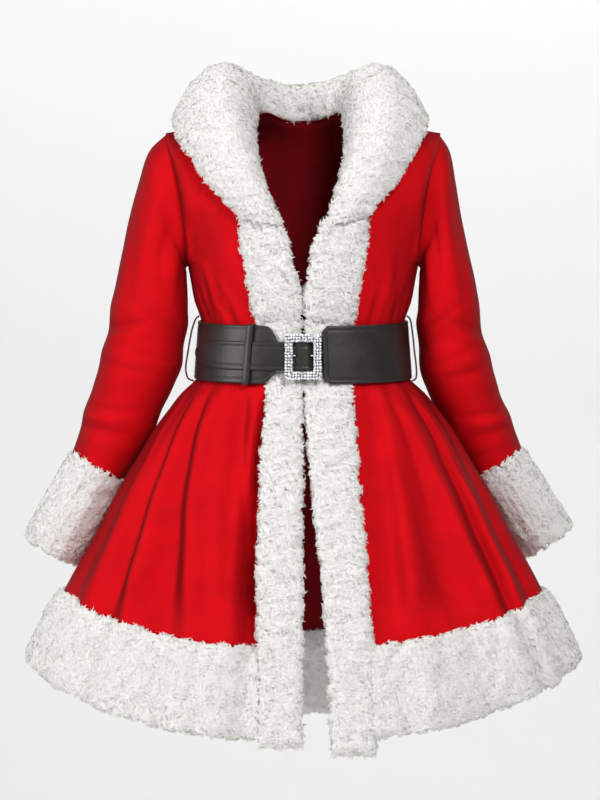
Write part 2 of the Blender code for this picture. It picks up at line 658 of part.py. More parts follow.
def strip_drops(bottom):
    """The strip's rows, closer together where the belt presses it and at its lower end."""
    first, last = BELT_PRESS_TOP + BELT_PRESS_EASE, BELT_PRESS_BOTTOM - BELT_PRESS_EASE
    above = np.linspace(STRIP_TOP_INNER, BELT_PRESS_TOP, STRIP_ROWS_ABOVE)
    under = np.linspace(first, last, STRIP_ROWS_UNDER)
    below = np.linspace(BELT_PRESS_BOTTOM, bottom - END_ROUNDING, STRIP_ROWS_BELOW)
    end = bottom - END_ROUNDING * np.array(STRIP_END_SHARES)
    return np.concatenate([above, under, below, end])


def strip_half(drop, bottom, share):
    """Half the strip's thickness: pressed flat under the belt and rounded off at its edges and lower end."""
    inset = BELT_PRESS_EASE
    pressed = soft_step(drop, BELT_PRESS_TOP, BELT_PRESS_TOP + inset)
    pressed = pressed * soft_step(-drop, -BELT_PRESS_BOTTOM, -BELT_PRESS_BOTTOM + inset)
    full = FUR_HALF + (FUR_HALF_UNDER_BELT - FUR_HALF) * pressed
    fallen = soft_step(drop, bottom - END_ROUNDING, bottom)
    end = np.sqrt(np.clip(1 - fallen**2, FUR_EDGE_SHARE**2, 1.0))
    return full * fur_profile(share) * end


def front_strip(side):
    sign = -1 if side == "left" else 1
    bottom = STRIP_BOTTOM_DROP[side]
    drop = strip_drops(bottom)[:, None]
    share = edge_shares(COLUMNS_STRIP)[None, :]
    slant = (STRIP_TOP_OUTER - STRIP_TOP_INNER) * share
    drop = drop + slant * (1 - soft_step(drop, STRIP_TOP_INNER, STRIP_LEVEL_DROP))
    inner, outer = trim_edge(side, "inner", drop), trim_edge(side, "outer", drop)
    x = inner + (outer - inner) * share
    grid = np.stack([sign * x, front_y(x, drop), -drop], -1)
    fur("front_strip_" + side, grid, axis_of(grid), strip_half(drop, bottom, share))


def smooth_rows(rings, count):
    """More rings between the given ones, each point along its own smooth curve."""
    rings = np.asarray(rings, float)
    flat = rings.reshape(len(rings), -1)
    knots = np.arange(len(rings))
    at = np.linspace(0, len(rings) - 1, count + 1)
    made = np.stack([smooth(knots, flat[:, i], at) for i in range(flat.shape[1])], 1)
    return made.reshape(count + 1, *rings.shape[1:])


def armhole_ring(sign):
    """The sleeve's first ring, a seam's gap outside the armhole, from the shoulder tip round the front."""
    drop = armhole_drops()
    x, y = yoke_value("side_x", drop) + SEAM_GAP, -armhole_depth(drop)
    front = np.stack([sign * x, y, -drop], -1)
    back = front[-2:0:-1] * np.array([1.0, -1.0, 1.0])
    return np.concatenate([front, back])


def ring(row, angle, sign):
    """An oval ring whose ends are a sleeve row's outer and inner points."""
    outer = np.array([sign * row.outer_x, row.middle_y, -row.outer_drop])
    inner = np.array([sign * row.inner_x, row.middle_y, -row.inner_drop])
    forward = np.array([0.0, -row.half_depth, 0.0])
    return (outer + inner) / 2 + np.cos(angle) * (outer - inner) / 2 + np.sin(angle) * forward


def sleeve(side):
    sign = -1 if side == "left" else 1
    angle = (np.arange(2 * ROWS_ARMHOLE) * np.pi / ROWS_ARMHOLE)[:, None]
    rings = [armhole_ring(sign)] + [ring(row, angle, sign) for row in SLEEVES[side]]
    grid = smooth_rows(rings, ROWS_SLEEVE)
    centre = grid.mean(axis=1, keepdims=True)
    out = turned_out(normals(grid, True), grid, centre)
    share = np.linspace(0, 1, ROWS_SLEEVE + 1)
    for row in SLEEVE_WRINKLES:
        wrinkle = row.height * np.exp(-(((share - row.share) / WRINKLE_WIDTH) ** 2))
        grid = grid + out * wrinkle[:, None, None]
    out[0, :, 0] = 0.0
    out[0] /= np.linalg.norm(out[0], axis=-1, keepdims=True)
    wall("sleeve_" + side, grid, grid - out * VELVET, RED_VELVET, around=True)


def cuff(side):
    sign = -1 if side == "left" else 1
    size = CUFFS[side]
    top = np.array([sign * size.top_x, size.top_y, -size.top_drop])
    bottom = np.array([sign * size.bottom_x, size.bottom_y, -size.bottom_drop])
    along = (bottom - top) / np.linalg.norm(bottom - top)
    across = np.cross(along, [0.0, 1.0, 0.0])
    across /= np.linalg.norm(across)
    forward = np.array([0.0, 1.0, 0.0])
    angle = (np.arange(2 * ROWS_ARMHOLE) * np.pi / ROWS_ARMHOLE)[None, :, None]
    share = edge_shares(ROWS_CUFF)
    middle = (top + along * 2 * SEAM_GAP) + (bottom - top) * share[:, None]
    middle = middle[:, None, :]
    grid = middle + CUFF_HALF_WIDTH * np.cos(angle) * across + CUFF_HALF_DEPTH * np.sin(angle) * forward
    fur("cuff_" + side, grid, middle, CUFF_FUR_HALF * fur_profile(share)[:, None], around=True)


def collar():
    sections = [np.array(row) for row in COLLAR]
    mirror = np.array([-1.0, 1.0, 1.0])
    path = [section * mirror for section in sections[:0:-1]] + sections
    rows = smooth_rows(path, ROWS_COLLAR)
    share = (edge_shares(COLUMNS_COLLAR) + np.linspace(0, 1, COLUMNS_COLLAR + 1)) / 2
    share = share[None, :, None]
    seam, roll, edge = (rows[:, None, i, :] for i in range(3))
    grid = (1 - share) ** 2 * seam + 2 * share * (1 - share) * roll + share**2 * edge
    from_back = np.abs(np.linspace(-1, 1, ROWS_COLLAR + 1))
    grid[..., 0] += COLLAR_SHIFT * (1 - from_back**2)[:, None]
    fur("collar", grid, axis_of(grid), FUR_HALF * fur_profile(share[0, :, 0])[None, :])


def belt_clearance(angle):
    """The belt's distance from the dress, greatest where it crosses the strips."""
    return BELT_CLEARANCE + BELT_FRONT_CLEARANCE * np.clip(np.cos(angle), 0, 1) ** BELT_CLEARANCE_POWER


def belt_point(angle, height, level):
    """A point of the belt, which is straight from edge to edge: height above its middle line, and level out."""
    angle, height, level = np.broadcast_arrays(angle, height, level)
    middle, out = WAIST_DROP + BELT_DIP * np.cos(angle), belt_clearance(angle) + level
    upper, lower = middle - BELT_HALF_HEIGHT, middle + BELT_HALF_HEIGHT
    top = body_point(angle, upper, out - surface_relief(angle, upper))
    bottom = body_point(angle, lower, out - surface_relief(angle, lower))
    share = (0.5 - height / (2 * BELT_HALF_HEIGHT))[..., None]
    return top + (bottom - top) * share


def front_angle(x):
    """The angle at which the belt's line passes over x at the front."""
    x = np.asarray(x, float)
    return np.sign(x) * oval_angle(np.abs(x), from_table(BODY, "half_width", WAIST_DROP))


def belt_band():
    left = front_angle(column(BELT_LEFT_END, "x"))
    right = 2 * np.pi + front_angle(column(BELT_RIGHT_END, "x"))
    round_left = np.linspace(left[-1], -np.pi, BELT_COLUMNS + 1)[1:]
    round_right = np.linspace(-np.pi, right[-1] - 4 * np.pi, BELT_COLUMNS + 1)[1:]
    angle = np.concatenate([left, round_left, round_right, (right - 4 * np.pi)[-2::-1]])
    full = np.full(2 * BELT_COLUMNS, BELT_HALF_HEIGHT)
    half = np.concatenate([
        column(BELT_LEFT_END, "half_height"),
        full,
        column(BELT_RIGHT_END, "half_height")[-2::-1],
    ])
    height = np.linspace(1, -1, BELT_ROWS + 1)[:, None] * half[None, :]
    outer = belt_point(angle[None, :], height, BELT_THICKNESS)
    wall("belt_band", outer, belt_point(angle[None, :], height, 0.0), BLACK_LEATHER)


def tongue_level(x):
    """The tongue leaves the right panel at its own level, then rides over the bar and the left strap."""
    raised = BELT_THICKNESS + 2 * SEAM_GAP
    return raised * soft_step(-x, -TONGUE_RISE_START, -TONGUE_RISE_END)


def belt_tongue():
    straight = np.linspace(TONGUE_START, TONGUE_ROUND, TONGUE_COLUMNS + 1)
    turn = np.linspace(0, np.pi / 2, TONGUE_TIP_COLUMNS + 1)[1:]
    tip = TONGUE_ROUND + (TONGUE_END - TONGUE_ROUND) * np.sin(turn)
    x = np.concatenate([straight, tip])
    along = np.clip((x - TONGUE_ROUND) / (TONGUE_END - TONGUE_ROUND), 0, 1)
    half = TONGUE_HALF_HEIGHT * np.sqrt(np.clip(1 - along**2, TONGUE_TIP_SHARE**2, 1))
    height = np.linspace(1, -1, BELT_ROWS + 1)[:, None] * half[None, :] - TONGUE_LOWERING
    angle, level = front_angle(x)[None, :], tongue_level(x)[None, :]
    outer = belt_point(angle, height, level + TONGUE_THICKNESS)
    wall("belt_tongue", outer, belt_point(angle, height, level), BLACK_LEATHER)


def rectangle(half_width, half_height, corner):
    """(width, height) points round a rectangle whose corners are cut off."""
    w, h = half_width, half_height
    return np.array([
        (w, h - corner), (w - corner, h), (corner - w, h), (-w, h - corner),
        (-w, corner - h), (corner - w, -h), (w - corner, -h), (w, corner - h),
    ])


def belt_keeper():
    """A flat loop of leather round the band and the tongue."""
    depth = BELT_THICKNESS + TONGUE_THICKNESS + 2 * SEAM_GAP
    grids = []
    for grow in (KEEPER_WALL, 0.0):
        room = KEEPER_ROOM + grow
        outline = rectangle(depth / 2 + room, BELT_HALF_HEIGHT + room, KEEPER_CORNER + grow)
        level, height = outline[:, 0] + depth / 2, outline[:, 1]
        angle = front_angle(KEEPER_X + KEEPER_WIDTH * np.array([-0.5, 0.5]))[:, None]
        grids.append(belt_point(angle, height[None, :], level[None, :]))
    wall("belt_keeper", grids[0], grids[1], BLACK_LEATHER, around=True)


def buckle_frame():
    """A rectangular frame, with its outer and window edges bevelled towards the front."""
    outer, inner = [], []
    for forward, inset in ((0.0, 0.0), (BUCKLE_SIDE_SHARE, 0.0), (1.0, BUCKLE_BEVEL)):
        y = BUCKLE_BACK_Y - forward * BUCKLE_DEPTH
        for rings, half_width, half_height, grow in (
            (outer, BUCKLE_HALF_WIDTH, BUCKLE_HALF_HEIGHT, -inset),
            (inner, WINDOW_HALF_WIDTH, WINDOW_HALF_HEIGHT, inset),
        ):
            flat = rectangle(half_width + grow, half_height + grow, BUCKLE_CORNER)
            rings.append(np.stack([flat[:, 0], 0 * flat[:, 0] + y, flat[:, 1] - BUCKLE_DROP], -1))
    wall("buckle_frame", np.array(outer), np.array(inner), SILVER, around=True)


def rod(name, path, radius, finish):
    """A round rod along a path."""
    path = np.asarray(path, float)
    curve = bpy.data.curves.new(name, "CURVE")
    curve.dimensions = "3D"
    curve.bevel_depth = radius
    curve.bevel_resolution = ROD_BEVEL_STEPS
    curve.use_fill_caps = True
    spline = curve.splines.new("POLY")
    spline.points.add(len(path) - 1)
    spline.points.foreach_set("co", np.column_stack([path, np.ones(len(path))]).ravel())
    curve.materials.append(material(finish))
    made = bpy.data.objects.new(name, curve)
    bpy.context.scene.collection.objects.link(made)


def buckle_bar():
    """The bar behind the tongue, with its ends bent forward to the frame."""
    top = [
        (0.0, BUCKLE_BACK_Y + SEAM_GAP, BAR_HALF_HEIGHT),
        (0.0, BAR_Y - BAR_BEND, BAR_HALF_HEIGHT),
        (0.0, BAR_Y, BAR_HALF_HEIGHT - BAR_BEND),
    ]
    path = top + [(x, y, -z) for x, y, z in reversed(top)]
    rod("buckle_bar", np.array(path) - np.array([0.0, 0.0, BUCKLE_DROP]), BAR_RADIUS, SILVER)


def belt_loop(side):
    """A thread loop that bows out over the belt at the side seam."""
    sign = -1 if side == "left" else 1
    points = np.array([(sign * row.x, 0.0, -row.drop) for row in LOOPS[side]])
    rod("belt_loop_" + side, smooth_rows(points, LOOP_STEPS), THREAD_RADIUS, RED_VELVET)


def main():
    clear_scene()
    bodice_back()
    for side in ("left", "right"):
        bodice_front(side)
        skirt(side)
        hem_band(side)
        front_strip(side)
        sleeve(side)
        cuff(side)
        belt_loop(side)
    skirt("back")
    hem_band("back")
    collar()
    belt_band()
    belt_tongue()
    belt_keeper()
    buckle_frame()
    buckle_bar()


main()
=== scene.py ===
"""The looks of a red velvet coat dress with sherpa plush trim and a wide belt, filled out as if worn.

Metres, +Z up. The front faces -Y and +X is on the right of the front view. The origin is at the height of the
nape seam, in the middle of the neck, and "drop" is a distance measured down from that height.
"""

import logging
from dataclasses import dataclass, field
from enum import Enum
from typing import Callable, NamedTuple

import bpy
import numpy as np
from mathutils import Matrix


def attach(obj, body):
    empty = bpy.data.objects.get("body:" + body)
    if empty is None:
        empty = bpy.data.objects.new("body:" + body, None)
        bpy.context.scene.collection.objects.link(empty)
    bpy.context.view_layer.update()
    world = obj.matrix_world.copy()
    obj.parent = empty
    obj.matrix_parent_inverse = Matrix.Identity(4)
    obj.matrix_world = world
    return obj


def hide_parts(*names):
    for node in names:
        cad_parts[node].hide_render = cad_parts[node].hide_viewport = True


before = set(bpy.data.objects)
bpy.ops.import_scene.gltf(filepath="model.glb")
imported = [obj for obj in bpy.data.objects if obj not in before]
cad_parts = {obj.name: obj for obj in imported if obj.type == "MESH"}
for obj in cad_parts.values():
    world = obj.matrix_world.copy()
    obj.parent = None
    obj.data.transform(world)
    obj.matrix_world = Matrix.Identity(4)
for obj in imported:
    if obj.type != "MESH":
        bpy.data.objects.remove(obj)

Array = np.ndarray
Material, Node, NodeTree = bpy.types.Material, bpy.types.Node, bpy.types.NodeTree
Object, Socket = bpy.types.Object, bpy.types.NodeSocket
EdgeDrop = Callable[[Array], Array]
Point = tuple[float, float, float]
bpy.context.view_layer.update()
LOG = logging.getLogger("coat dress")


class Side(Enum):
    """The side of the dress as the front view shows it."""

    LEFT = "left"
    RIGHT = "right"

    @property
    def sign(self) -> float:
        """-1 on the left and 1 on the right."""
        return -1.0 if self is Side.LEFT else 1.0


class Panel(Enum):
    """A panel of the skirt or of the hem band."""

    LEFT = "left"
    RIGHT = "right"
    BACK = "back"


class BodyRow(NamedTuple):
    """Half the dress's width and its depths at a drop."""

    drop: float
    half_width: float
    front_depth: float
    back_depth: float


class YokeRow(NamedTuple):
    """A row above the underarm, from the neckline (inner) to the armhole (side)."""

    side_drop: float
    inner_drop: float
    side_x: float
    front_depth: float
    back_depth: float
    neck_bulge: float


class EdgeRow(NamedTuple):
    """The distance of the velvet's front edge from the middle."""

    drop: float
    half_width: float


class TrimRow(NamedTuple):
    """The distances of the front strips' edges from the middle."""

    drop: float
    left_outer: float
    left_inner: float
    right_outer: float
    right_inner: float


class Fold(NamedTuple):
    """A fold of the skirt: where it starts and ends, in degrees from the middle of the front."""

    waist_angle: float
    hem_angle: float
    width: float
    depth: float


class Crease(NamedTuple):
    """A soft trough (negative height) or ridge along a bowed line from one (across, down) place to another."""

    across_start: float
    down_start: float
    across_end: float
    down_end: float
    bow: float
    width: float
    height: float


class SleeveRow(NamedTuple):
    """A ring of the sleeve, from its outer to its inner outline."""

    outer_x: float
    outer_drop: float
    inner_x: float
    inner_drop: float
    half_depth: float
    middle_y: float


class CollarRow(NamedTuple):
    """A section of the collar: its seam, the point that the roll reaches for, and its falling edge."""

    seam: Point
    roll: Point
    edge: Point


class BeltEnd(NamedTuple):
    """Half the belt's height near one of its ends."""

    x: float
    half_height: float


class Cut(NamedTuple):
    """The flat size that a piece is cut to: width, length and area."""

    width: float
    length: float
    area: float


class Lamp(NamedTuple):
    """A square softbox: its place, the length of its side, its power, and the point that it is turned to."""

    name: str
    place: Point
    size: float
    watts: float
    target: Point = (0.0, 0.0, -0.4)


def rows_of(kind: type, *rows: tuple) -> tuple:
    """The rows of a table, each as a named tuple of the kind."""
    return tuple(kind(*row) for row in rows)


def hermite(knots: Array, values: Array, at: Array) -> Array:
    """A smooth curve through the values: cubic pieces whose slopes are finite differences.

    Args:
        knots: where the values are given, rising.
        values: one value for each knot.
        at: where the curve is wanted.

    Returns:
        start + (end - start) * u^2 * (3 - 2u), plus the slopes' share, with u from 0 to 1 in each piece.
    """
    knots, values, at = (np.asarray(each, float) for each in (knots, values, at))
    slopes = np.gradient(values, knots)
    low = np.clip(np.searchsorted(knots, at) - 1, 0, len(knots) - 2)
    step = knots[low + 1] - knots[low]
    u = np.clip((at - knots[low]) / step, 0.0, 1.0)
    rise = u * (1 - u) * ((1 - u) * slopes[low] - u * slopes[low + 1]) * step
    return values[low] + (values[low + 1] - values[low]) * u * u * (3 - 2 * u) + rise


def from_table(table: tuple, name: str, at: Array, key: str = "drop") -> Array:
    """The named column of a table, as a smooth curve over its key column."""
    return hermite([getattr(row, key) for row in table], [getattr(row, name) for row in table], at)


def soft_step(value: Array, low: float, high: float) -> Array:
    """0 below low, 1 above high and u^2 * (3 - 2u) between them."""
    u = np.clip((value - low) / (high - low), 0.0, 1.0)
    return u * u * (3 - 2 * u)


def signed_power(value: Array, exponent: float) -> Array:
    """The power of the value's size, with its sign kept."""
    return np.sign(value) * np.abs(value) ** exponent


def unit(vectors: Array) -> Array:
    """The vectors, each divided by its length."""
    return vectors / np.maximum(np.linalg.norm(vectors, axis=-1, keepdims=True), 1e-12)


def smooth_rings(rings: Array, count: int) -> Array:
    """More rings between the given ones, each point along its own smooth curve.

    Args:
        rings: an array whose first axis is the ring.
        count: how many steps the result has.

    Returns:
        count + 1 rings.
    """
    rings = np.asarray(rings, float)
    flat = rings.reshape(len(rings), -1)
    at = np.linspace(0, len(rings) - 1, count + 1)
    made = [hermite(np.arange(len(rings)), flat[:, i], at) for i in range(flat.shape[1])]
    return np.stack(made, 1).reshape(count + 1, *rings.shape[1:])


def crease_height(creases: tuple[Crease, ...], across: Array, down: Array) -> Array:
    """The sum of the creases' heights.

    Each is height * exp(-((across - line) / width)^2) * sin(pi * t)^0.7, where t runs from 0 to 1 down the
    crease and line is the straight way between its ends plus bow * sin(pi * t).

    Args:
        creases: the creases.
        across: places across them.
        down: places down them.

    Returns:
        The height at each place.
    """
    total = np.zeros(np.broadcast(across, down).shape)
    for crease in creases:
        t = np.clip((down - crease.down_start) / (crease.down_end - crease.down_start), 0.0, 1.0)
        arch = np.sin(np.pi * t)
        line = crease.across_start + (crease.across_end - crease.across_start) * t + crease.bow * arch
        near = np.exp(-(((across - line) / crease.width) ** 2))
        total = total + crease.height * near * np.clip(arch, 0.0, 1.0) ** 0.7
    return total


@dataclass(frozen=True)
class WaveNoise:
    """A smooth uneven height made of many plane waves in random directions.

    Attributes:
        size: the usual distance between two crests, in metres.
        seed: which noise it is.
        waves: how many waves are added.
        spread: the wavelengths that are drawn, as shares of the size.
    """

    size: float
    seed: int
    waves: int = 28
    spread: tuple[float, float] = (0.75, 1.35)

    def parts(self) -> tuple[Array, Array]:
        """The waves' directions times 2 pi / wavelength, and their phases.

        Returns:
            An array of waves x 3, and one phase for each wave.
        """
        rng = np.random.default_rng(self.seed)
        turns = unit(rng.normal(size=(self.waves, 3)))
        lengths = self.size * rng.uniform(*self.spread, self.waves)
        return turns * (2 * np.pi / lengths)[:, None], rng.uniform(0, 2 * np.pi, self.waves)

    def height(self, points: Array) -> Array:
        """The sum of cos(k . p + phase) over the square root of half the number of waves."""
        turns, phases = self.parts()
        return np.cos(points @ turns.T + phases).sum(-1) / np.sqrt(self.waves / 2)

    def slope(self, points: Array) -> Array:
        """The gradient of height: the sum of -k * sin(k . p + phase), scaled in the same way."""
        turns, phases = self.parts()
        return -(np.sin(points @ turns.T + phases) @ turns) / np.sqrt(self.waves / 2)


def linear(hex_colour: str) -> tuple[float, float, float, float]:
    """The linear colour of an sRGB hex value such as #C80010.

    Args:
        hex_colour: the colour, as # and six digits.

    Returns:
        Red, green, blue and 1.
    """
    shares = np.array([int(hex_colour[i : i + 2], 16) for i in (1, 3, 5)]) / 255
    light = np.where(shares <= 0.04045, shares / 12.92, ((shares + 0.055) / 1.055) ** 2.4)
    return (*(float(value) for value in light), 1.0)


def add_node(tree: NodeTree, kind: str, inputs: dict | None = None, **settings: object) -> Node:
    """Adds a node.

    Args:
        tree: the material's node tree.
        kind: the node's type.
        inputs: for each input's name or index, a value or the socket that feeds it.
        settings: the node's own properties.

    Returns:
        The new node.
    """
    made = tree.nodes.new(kind)
    for name, value in settings.items():
        setattr(made, name, value)
    for socket, value in (inputs or {}).items():
        if isinstance(value, Socket):
            tree.links.new(value, made.inputs[socket])
        else:
            made.inputs[socket].default_value = value
    return made


def start_material(name: str, shader: dict[str, object]) -> tuple[Material, NodeTree, Node]:
    """A new material whose Principled shader has these constant values.

    Args:
        name: the material's name.
        shader: for each of the shader's inputs, its value.

    Returns:
        The material, its node tree and its shader node.
    """
    made = bpy.data.materials.new(name)
    made.use_nodes = True
    tree = made.node_tree
    principled = tree.nodes["Principled BSDF"]
    for socket, value in shader.items():
        principled.inputs[socket].default_value = value
    made.diffuse_color = shader["Base Color"]
    return made, tree, principled


def patches(tree: NodeTree, place: Socket, size: float, detail: float = 2.0) -> Socket:
    """A noise from 0 to 1 whose patches are about size metres across."""
    settings = {"Vector": place, "Scale": 1 / size, "Detail": detail, "Roughness": 0.55}
    return add_node(tree, "ShaderNodeTexNoise", settings).outputs["Fac"]


def two_colours(
    tree: NodeTree, share: Socket, low: str, high: str, start: float = 0.3, end: float = 0.7
) -> Socket:
    """A colour that goes from low to high while the share goes from start to end.

    Args:
        tree: the material's node tree.
        share: what the colour follows.
        low: the colour up to start.
        high: the colour from end on.
        start: the share at which it begins to change.
        end: the share at which it has changed.

    Returns:
        The socket of the colour.
    """
    ramp = add_node(tree, "ShaderNodeValToRGB", {"Fac": share})
    ramp.color_ramp.elements[0].position, ramp.color_ramp.elements[1].position = start, end
    ramp.color_ramp.elements[0].color, ramp.color_ramp.elements[1].color = linear(low), linear(high)
    return ramp.outputs["Color"]


def bump(tree: NodeTree, layers: list[tuple[Socket, float]]) -> Socket:
    """A normal that carries several heights, each with its own depth in metres.

    Args:
        tree: the material's node tree.
        layers: each height with its depth.

    Returns:
        The socket of the normal.
    """
    normal = None
    for height, depth in layers:
        inputs = {"Height": height, "Distance": depth, "Strength": 1.0}
        if normal is not None:
            inputs["Normal"] = normal
        normal = add_node(tree, "ShaderNodeBump", inputs).outputs["Normal"]
    return normal


@dataclass(frozen=True)
class Velvet:
    """Polyester velvet: a dense short pile that is dark where it is looked into and has a bright sheen at a grazing
    slant. Its colour has painted shade, darker where the cloth is seen at a slant.

    Attributes:
        name: the material's name.
        shadow: the colour where the nap is brushed away from the light.
        light: the colour where it is brushed towards the light.
        turned: the painted shade, the colour mixed in where the cloth is seen at a slant.
        sheen: how strong the pile's bright edge is.
        nap_patch: the size of a brushed patch, in metres.
        pile_grain: the pile's grain. Real pile is about 0.2 mm apart, drawn as coarse as it needs to show.
        sheen_tint: the colour of the bright edge.
        nap_depth, grain_depth: the depths of the patches and of the grain.
    """

    name: str = "polyester velvet"
    shadow: str = "#BC000B"
    light: str = "#CC000E"
    turned: str = "#620007"
    sheen: float = 0.22
    nap_patch: float = 0.045
    pile_grain: float = 0.0022
    sheen_tint: str = "#FF1C1C"
    nap_depth: float = 0.0006
    grain_depth: float = 0.00018

    def build(self) -> Material:
        """The material, on Object coordinates.

        Returns:
            The material, whose colour is a nap of two reds, mixed towards the painted shade turned where it is seen at
            a slant.
        """
        values = {"Base Color": linear(self.light), "Roughness": 0.85, "IOR": 1.45, "Specular IOR Level": 0.15}
        values |= {"Sheen Weight": self.sheen, "Sheen Roughness": 0.35, "Sheen Tint": linear(self.sheen_tint)}
        made, tree, shader = start_material(self.name, values)
        place = add_node(tree, "ShaderNodeTexCoord").outputs["Object"]
        nap = patches(tree, place, self.nap_patch, 3.0)
        # Painted shade: the colour darkens by the angle at which the cloth is seen.
        facing = add_node(tree, "ShaderNodeLayerWeight", {"Blend": 0.5}).outputs["Facing"]
        slant = add_node(tree, "ShaderNodeMapRange", {"Value": facing, "From Min": 0.08, "From Max": 0.85})
        colour = two_colours(tree, nap, self.shadow, self.light)
        inputs = {0: slant.outputs["Result"], 6: colour, 7: linear(self.turned)}
        mixed = add_node(tree, "ShaderNodeMix", inputs, data_type="RGBA")
        tree.links.new(mixed.outputs[2], shader.inputs["Base Color"])
        grain = patches(tree, place, self.pile_grain, 1.0)
        normal = bump(tree, [(nap, self.nap_depth), (grain, self.grain_depth)])
        tree.links.new(normal, shader.inputs["Normal"])
        return made


@dataclass(frozen=True)
class SherpaPlush:
    """Polyester sherpa plush: curly white fibres, with painted shade that makes them a little darker at their roots
    than at their tips.

    Attributes:
        name: the material's name.
        root: the fibres' colour at the backing, darker as painted shade.
        tip: their colour at the tips.
        through: the share of the light that passes through a tuft to its other side.
    """

    name: str = "sherpa plush"
    root: str = "#F6F4F1"
    tip: str = "#FFFEFC"
    through: float = 0.38

    def build(self) -> Material:
        """The material, which reads how high on the pile a point is from the mesh's attribute pile and paints shade low
        on it.

        Returns:
            The material, a mix of plush and of light that passes through it.
        """
        values = {"Base Color": linear(self.tip), "Roughness": 0.95, "IOR": 1.5, "Specular IOR Level": 0.2}
        values |= {"Sheen Weight": 0.25, "Sheen Roughness": 0.5}
        made, tree, shader = start_material(self.name, values)
        pile = add_node(tree, "ShaderNodeAttribute", attribute_name="pile").outputs["Fac"]
        # Painted shade: the colour is darker low on the pile, towards the roots.
        tree.links.new(two_colours(tree, pile, self.root, self.tip, 0.0, 0.8), shader.inputs["Base Color"])
        passed = add_node(tree, "ShaderNodeBsdfTranslucent", {"Color": linear(self.tip)}).outputs["BSDF"]
        surface = shader.outputs["BSDF"]
        mixed = add_node(tree, "ShaderNodeMixShader", {0: self.through, 1: surface, 2: passed})
        output = next(node for node in tree.nodes if node.type == "OUTPUT_MATERIAL")
        tree.links.new(mixed.outputs["Shader"], output.inputs["Surface"])
        return made


@dataclass(frozen=True)
class Leatherette:
    """Black polyurethane leatherette: a smooth skin with a fine grain and soft, broad highlights.

    Attributes:
        name: the material's name.
        dark: the skin's colour.
        worn: the colour where it is bent and polished.
        grain: the grain's size. Real grain is about 0.6 mm, drawn as coarse as it needs to show.
        wear_patch: the size of a polished patch.
        grain_depth, wear_depth: the depths of the grain and of the patches.
    """

    name: str = "black leatherette"
    dark: str = "#1B1715"
    worn: str = "#262220"
    grain: float = 0.0016
    wear_patch: float = 0.03
    grain_depth: float = 0.00008
    wear_depth: float = 0.0006

    def build(self) -> Material:
        """The material, on Object coordinates.

        Returns:
            The material, with a fine cell grain.
        """
        values = {"Base Color": linear(self.dark), "Roughness": 0.42, "IOR": 1.5}
        made, tree, shader = start_material(self.name, values)
        place = add_node(tree, "ShaderNodeTexCoord").outputs["Object"]
        wear = patches(tree, place, self.wear_patch, 3.0)
        tree.links.new(two_colours(tree, wear, self.dark, self.worn), shader.inputs["Base Color"])
        rough = add_node(tree, "ShaderNodeMapRange", {"Value": wear, "To Min": 0.36, "To Max": 0.50})
        tree.links.new(rough.outputs["Result"], shader.inputs["Roughness"])
        cells = add_node(tree, "ShaderNodeTexVoronoi", {"Vector": place, "Scale": 1 / self.grain})
        heights = [(cells.outputs["Distance"], self.grain_depth), (wear, self.wear_depth)]
        tree.links.new(bump(tree, heights), shader.inputs["Normal"])
        return made


@dataclass(frozen=True)
class PlainFinish:
    """A finish with one slightly uneven colour.

    Attributes:
        name: the material's name, which says what the real one is.
        low: its darker colour.
        high: its lighter colour.
        roughness: how matt it is.
        metallic: 1 for a bare metal.
        patch, patch_depth: the size and the depth of its uneven patches, in metres.
    """

    name: str
    low: str
    high: str
    roughness: float
    metallic: float = 0.0
    patch: float = 0.004
    patch_depth: float = 0.0001

    def build(self) -> Material:
        """The material, on Object coordinates.

        Returns:
            The material.
        """
        values = {"Base Color": linear(self.high), "Roughness": self.roughness, "Metallic": self.metallic}
        made, tree, shader = start_material(self.name, values)
        place = add_node(tree, "ShaderNodeTexCoord").outputs["Object"]
        uneven = patches(tree, place, self.patch)
        tree.links.new(two_colours(tree, uneven, self.low, self.high), shader.inputs["Base Color"])
        tree.links.new(bump(tree, [(uneven, self.patch_depth)]), shader.inputs["Normal"])
        return made


@dataclass(frozen=True)
class Rhinestone:
    """Foil backed glass stones, whose colour is painted reflection: most facets are painted white as if they throw back
    the light, and some black as if they miss it.

    Attributes:
        name: the material's name.
        black: the painted reflection of a facet that shows the dark of the room.
        bright: the painted reflection of the others.
        facet: the usual size of a painted facet, in metres.
    """

    name: str = "foil backed rhinestone"
    black: str = "#242428"
    bright: str = "#F8F9FC"
    facet: float = 0.0022

    def build(self) -> Material:
        """The material, on Object coordinates.

        Returns:
            The material.
        """
        values = {"Base Color": linear(self.bright), "Roughness": 0.06, "IOR": 1.57}
        made, tree, shader = start_material(self.name, values)
        place = add_node(tree, "ShaderNodeTexCoord").outputs["Object"]
        cells = patches(tree, place, self.facet, 1.0)
        # Painted reflection: cells of black and white stand for facets that miss or catch the light.
        tree.links.new(two_colours(tree, cells, self.black, self.bright, 0.36, 0.44), shader.inputs["Base Color"])
        return made


@dataclass
class Wardrobe:
    """Every finish of the dress, each made once."""

    velvet: Material = field(default_factory=Velvet().build)
    # The wrong side of the velvet has no pile, so it is duller; its colours are darkened much more than that as painted
    # shade for the inside of the dress.
    velvet_back_with_painted_shade: Material = field(
        default_factory=Velvet("velvet wrong side with painted shade", "#640008", "#72000A", "#3C0005", 0.05).build
    )
    plush: Material = field(default_factory=SherpaPlush().build)
    leather: Material = field(default_factory=Leatherette().build)
    # Spun polyester thread has a soft, dull surface.
    black_thread: Material = field(
        default_factory=PlainFinish("black polyester thread", "#0C0B0B", "#1A1818", 0.7).build
    )
    red_thread: Material = field(
        default_factory=PlainFinish("dark red polyester thread", "#4A0008", "#6E000C", 0.75).build
    )
    # Silver plate on cast zinc is bright, with a slightly uneven polish.
    silver: Material = field(
        default_factory=PlainFinish("silver plated zinc", "#A9A9AD", "#D8D8DB", 0.25, 1.0).build
    )
    # The rhinestones' colour is painted reflection, for foil backed facets that throw back light as a mirror with many
    # small facets.
    crystal: Material = field(default_factory=Rhinestone().build)


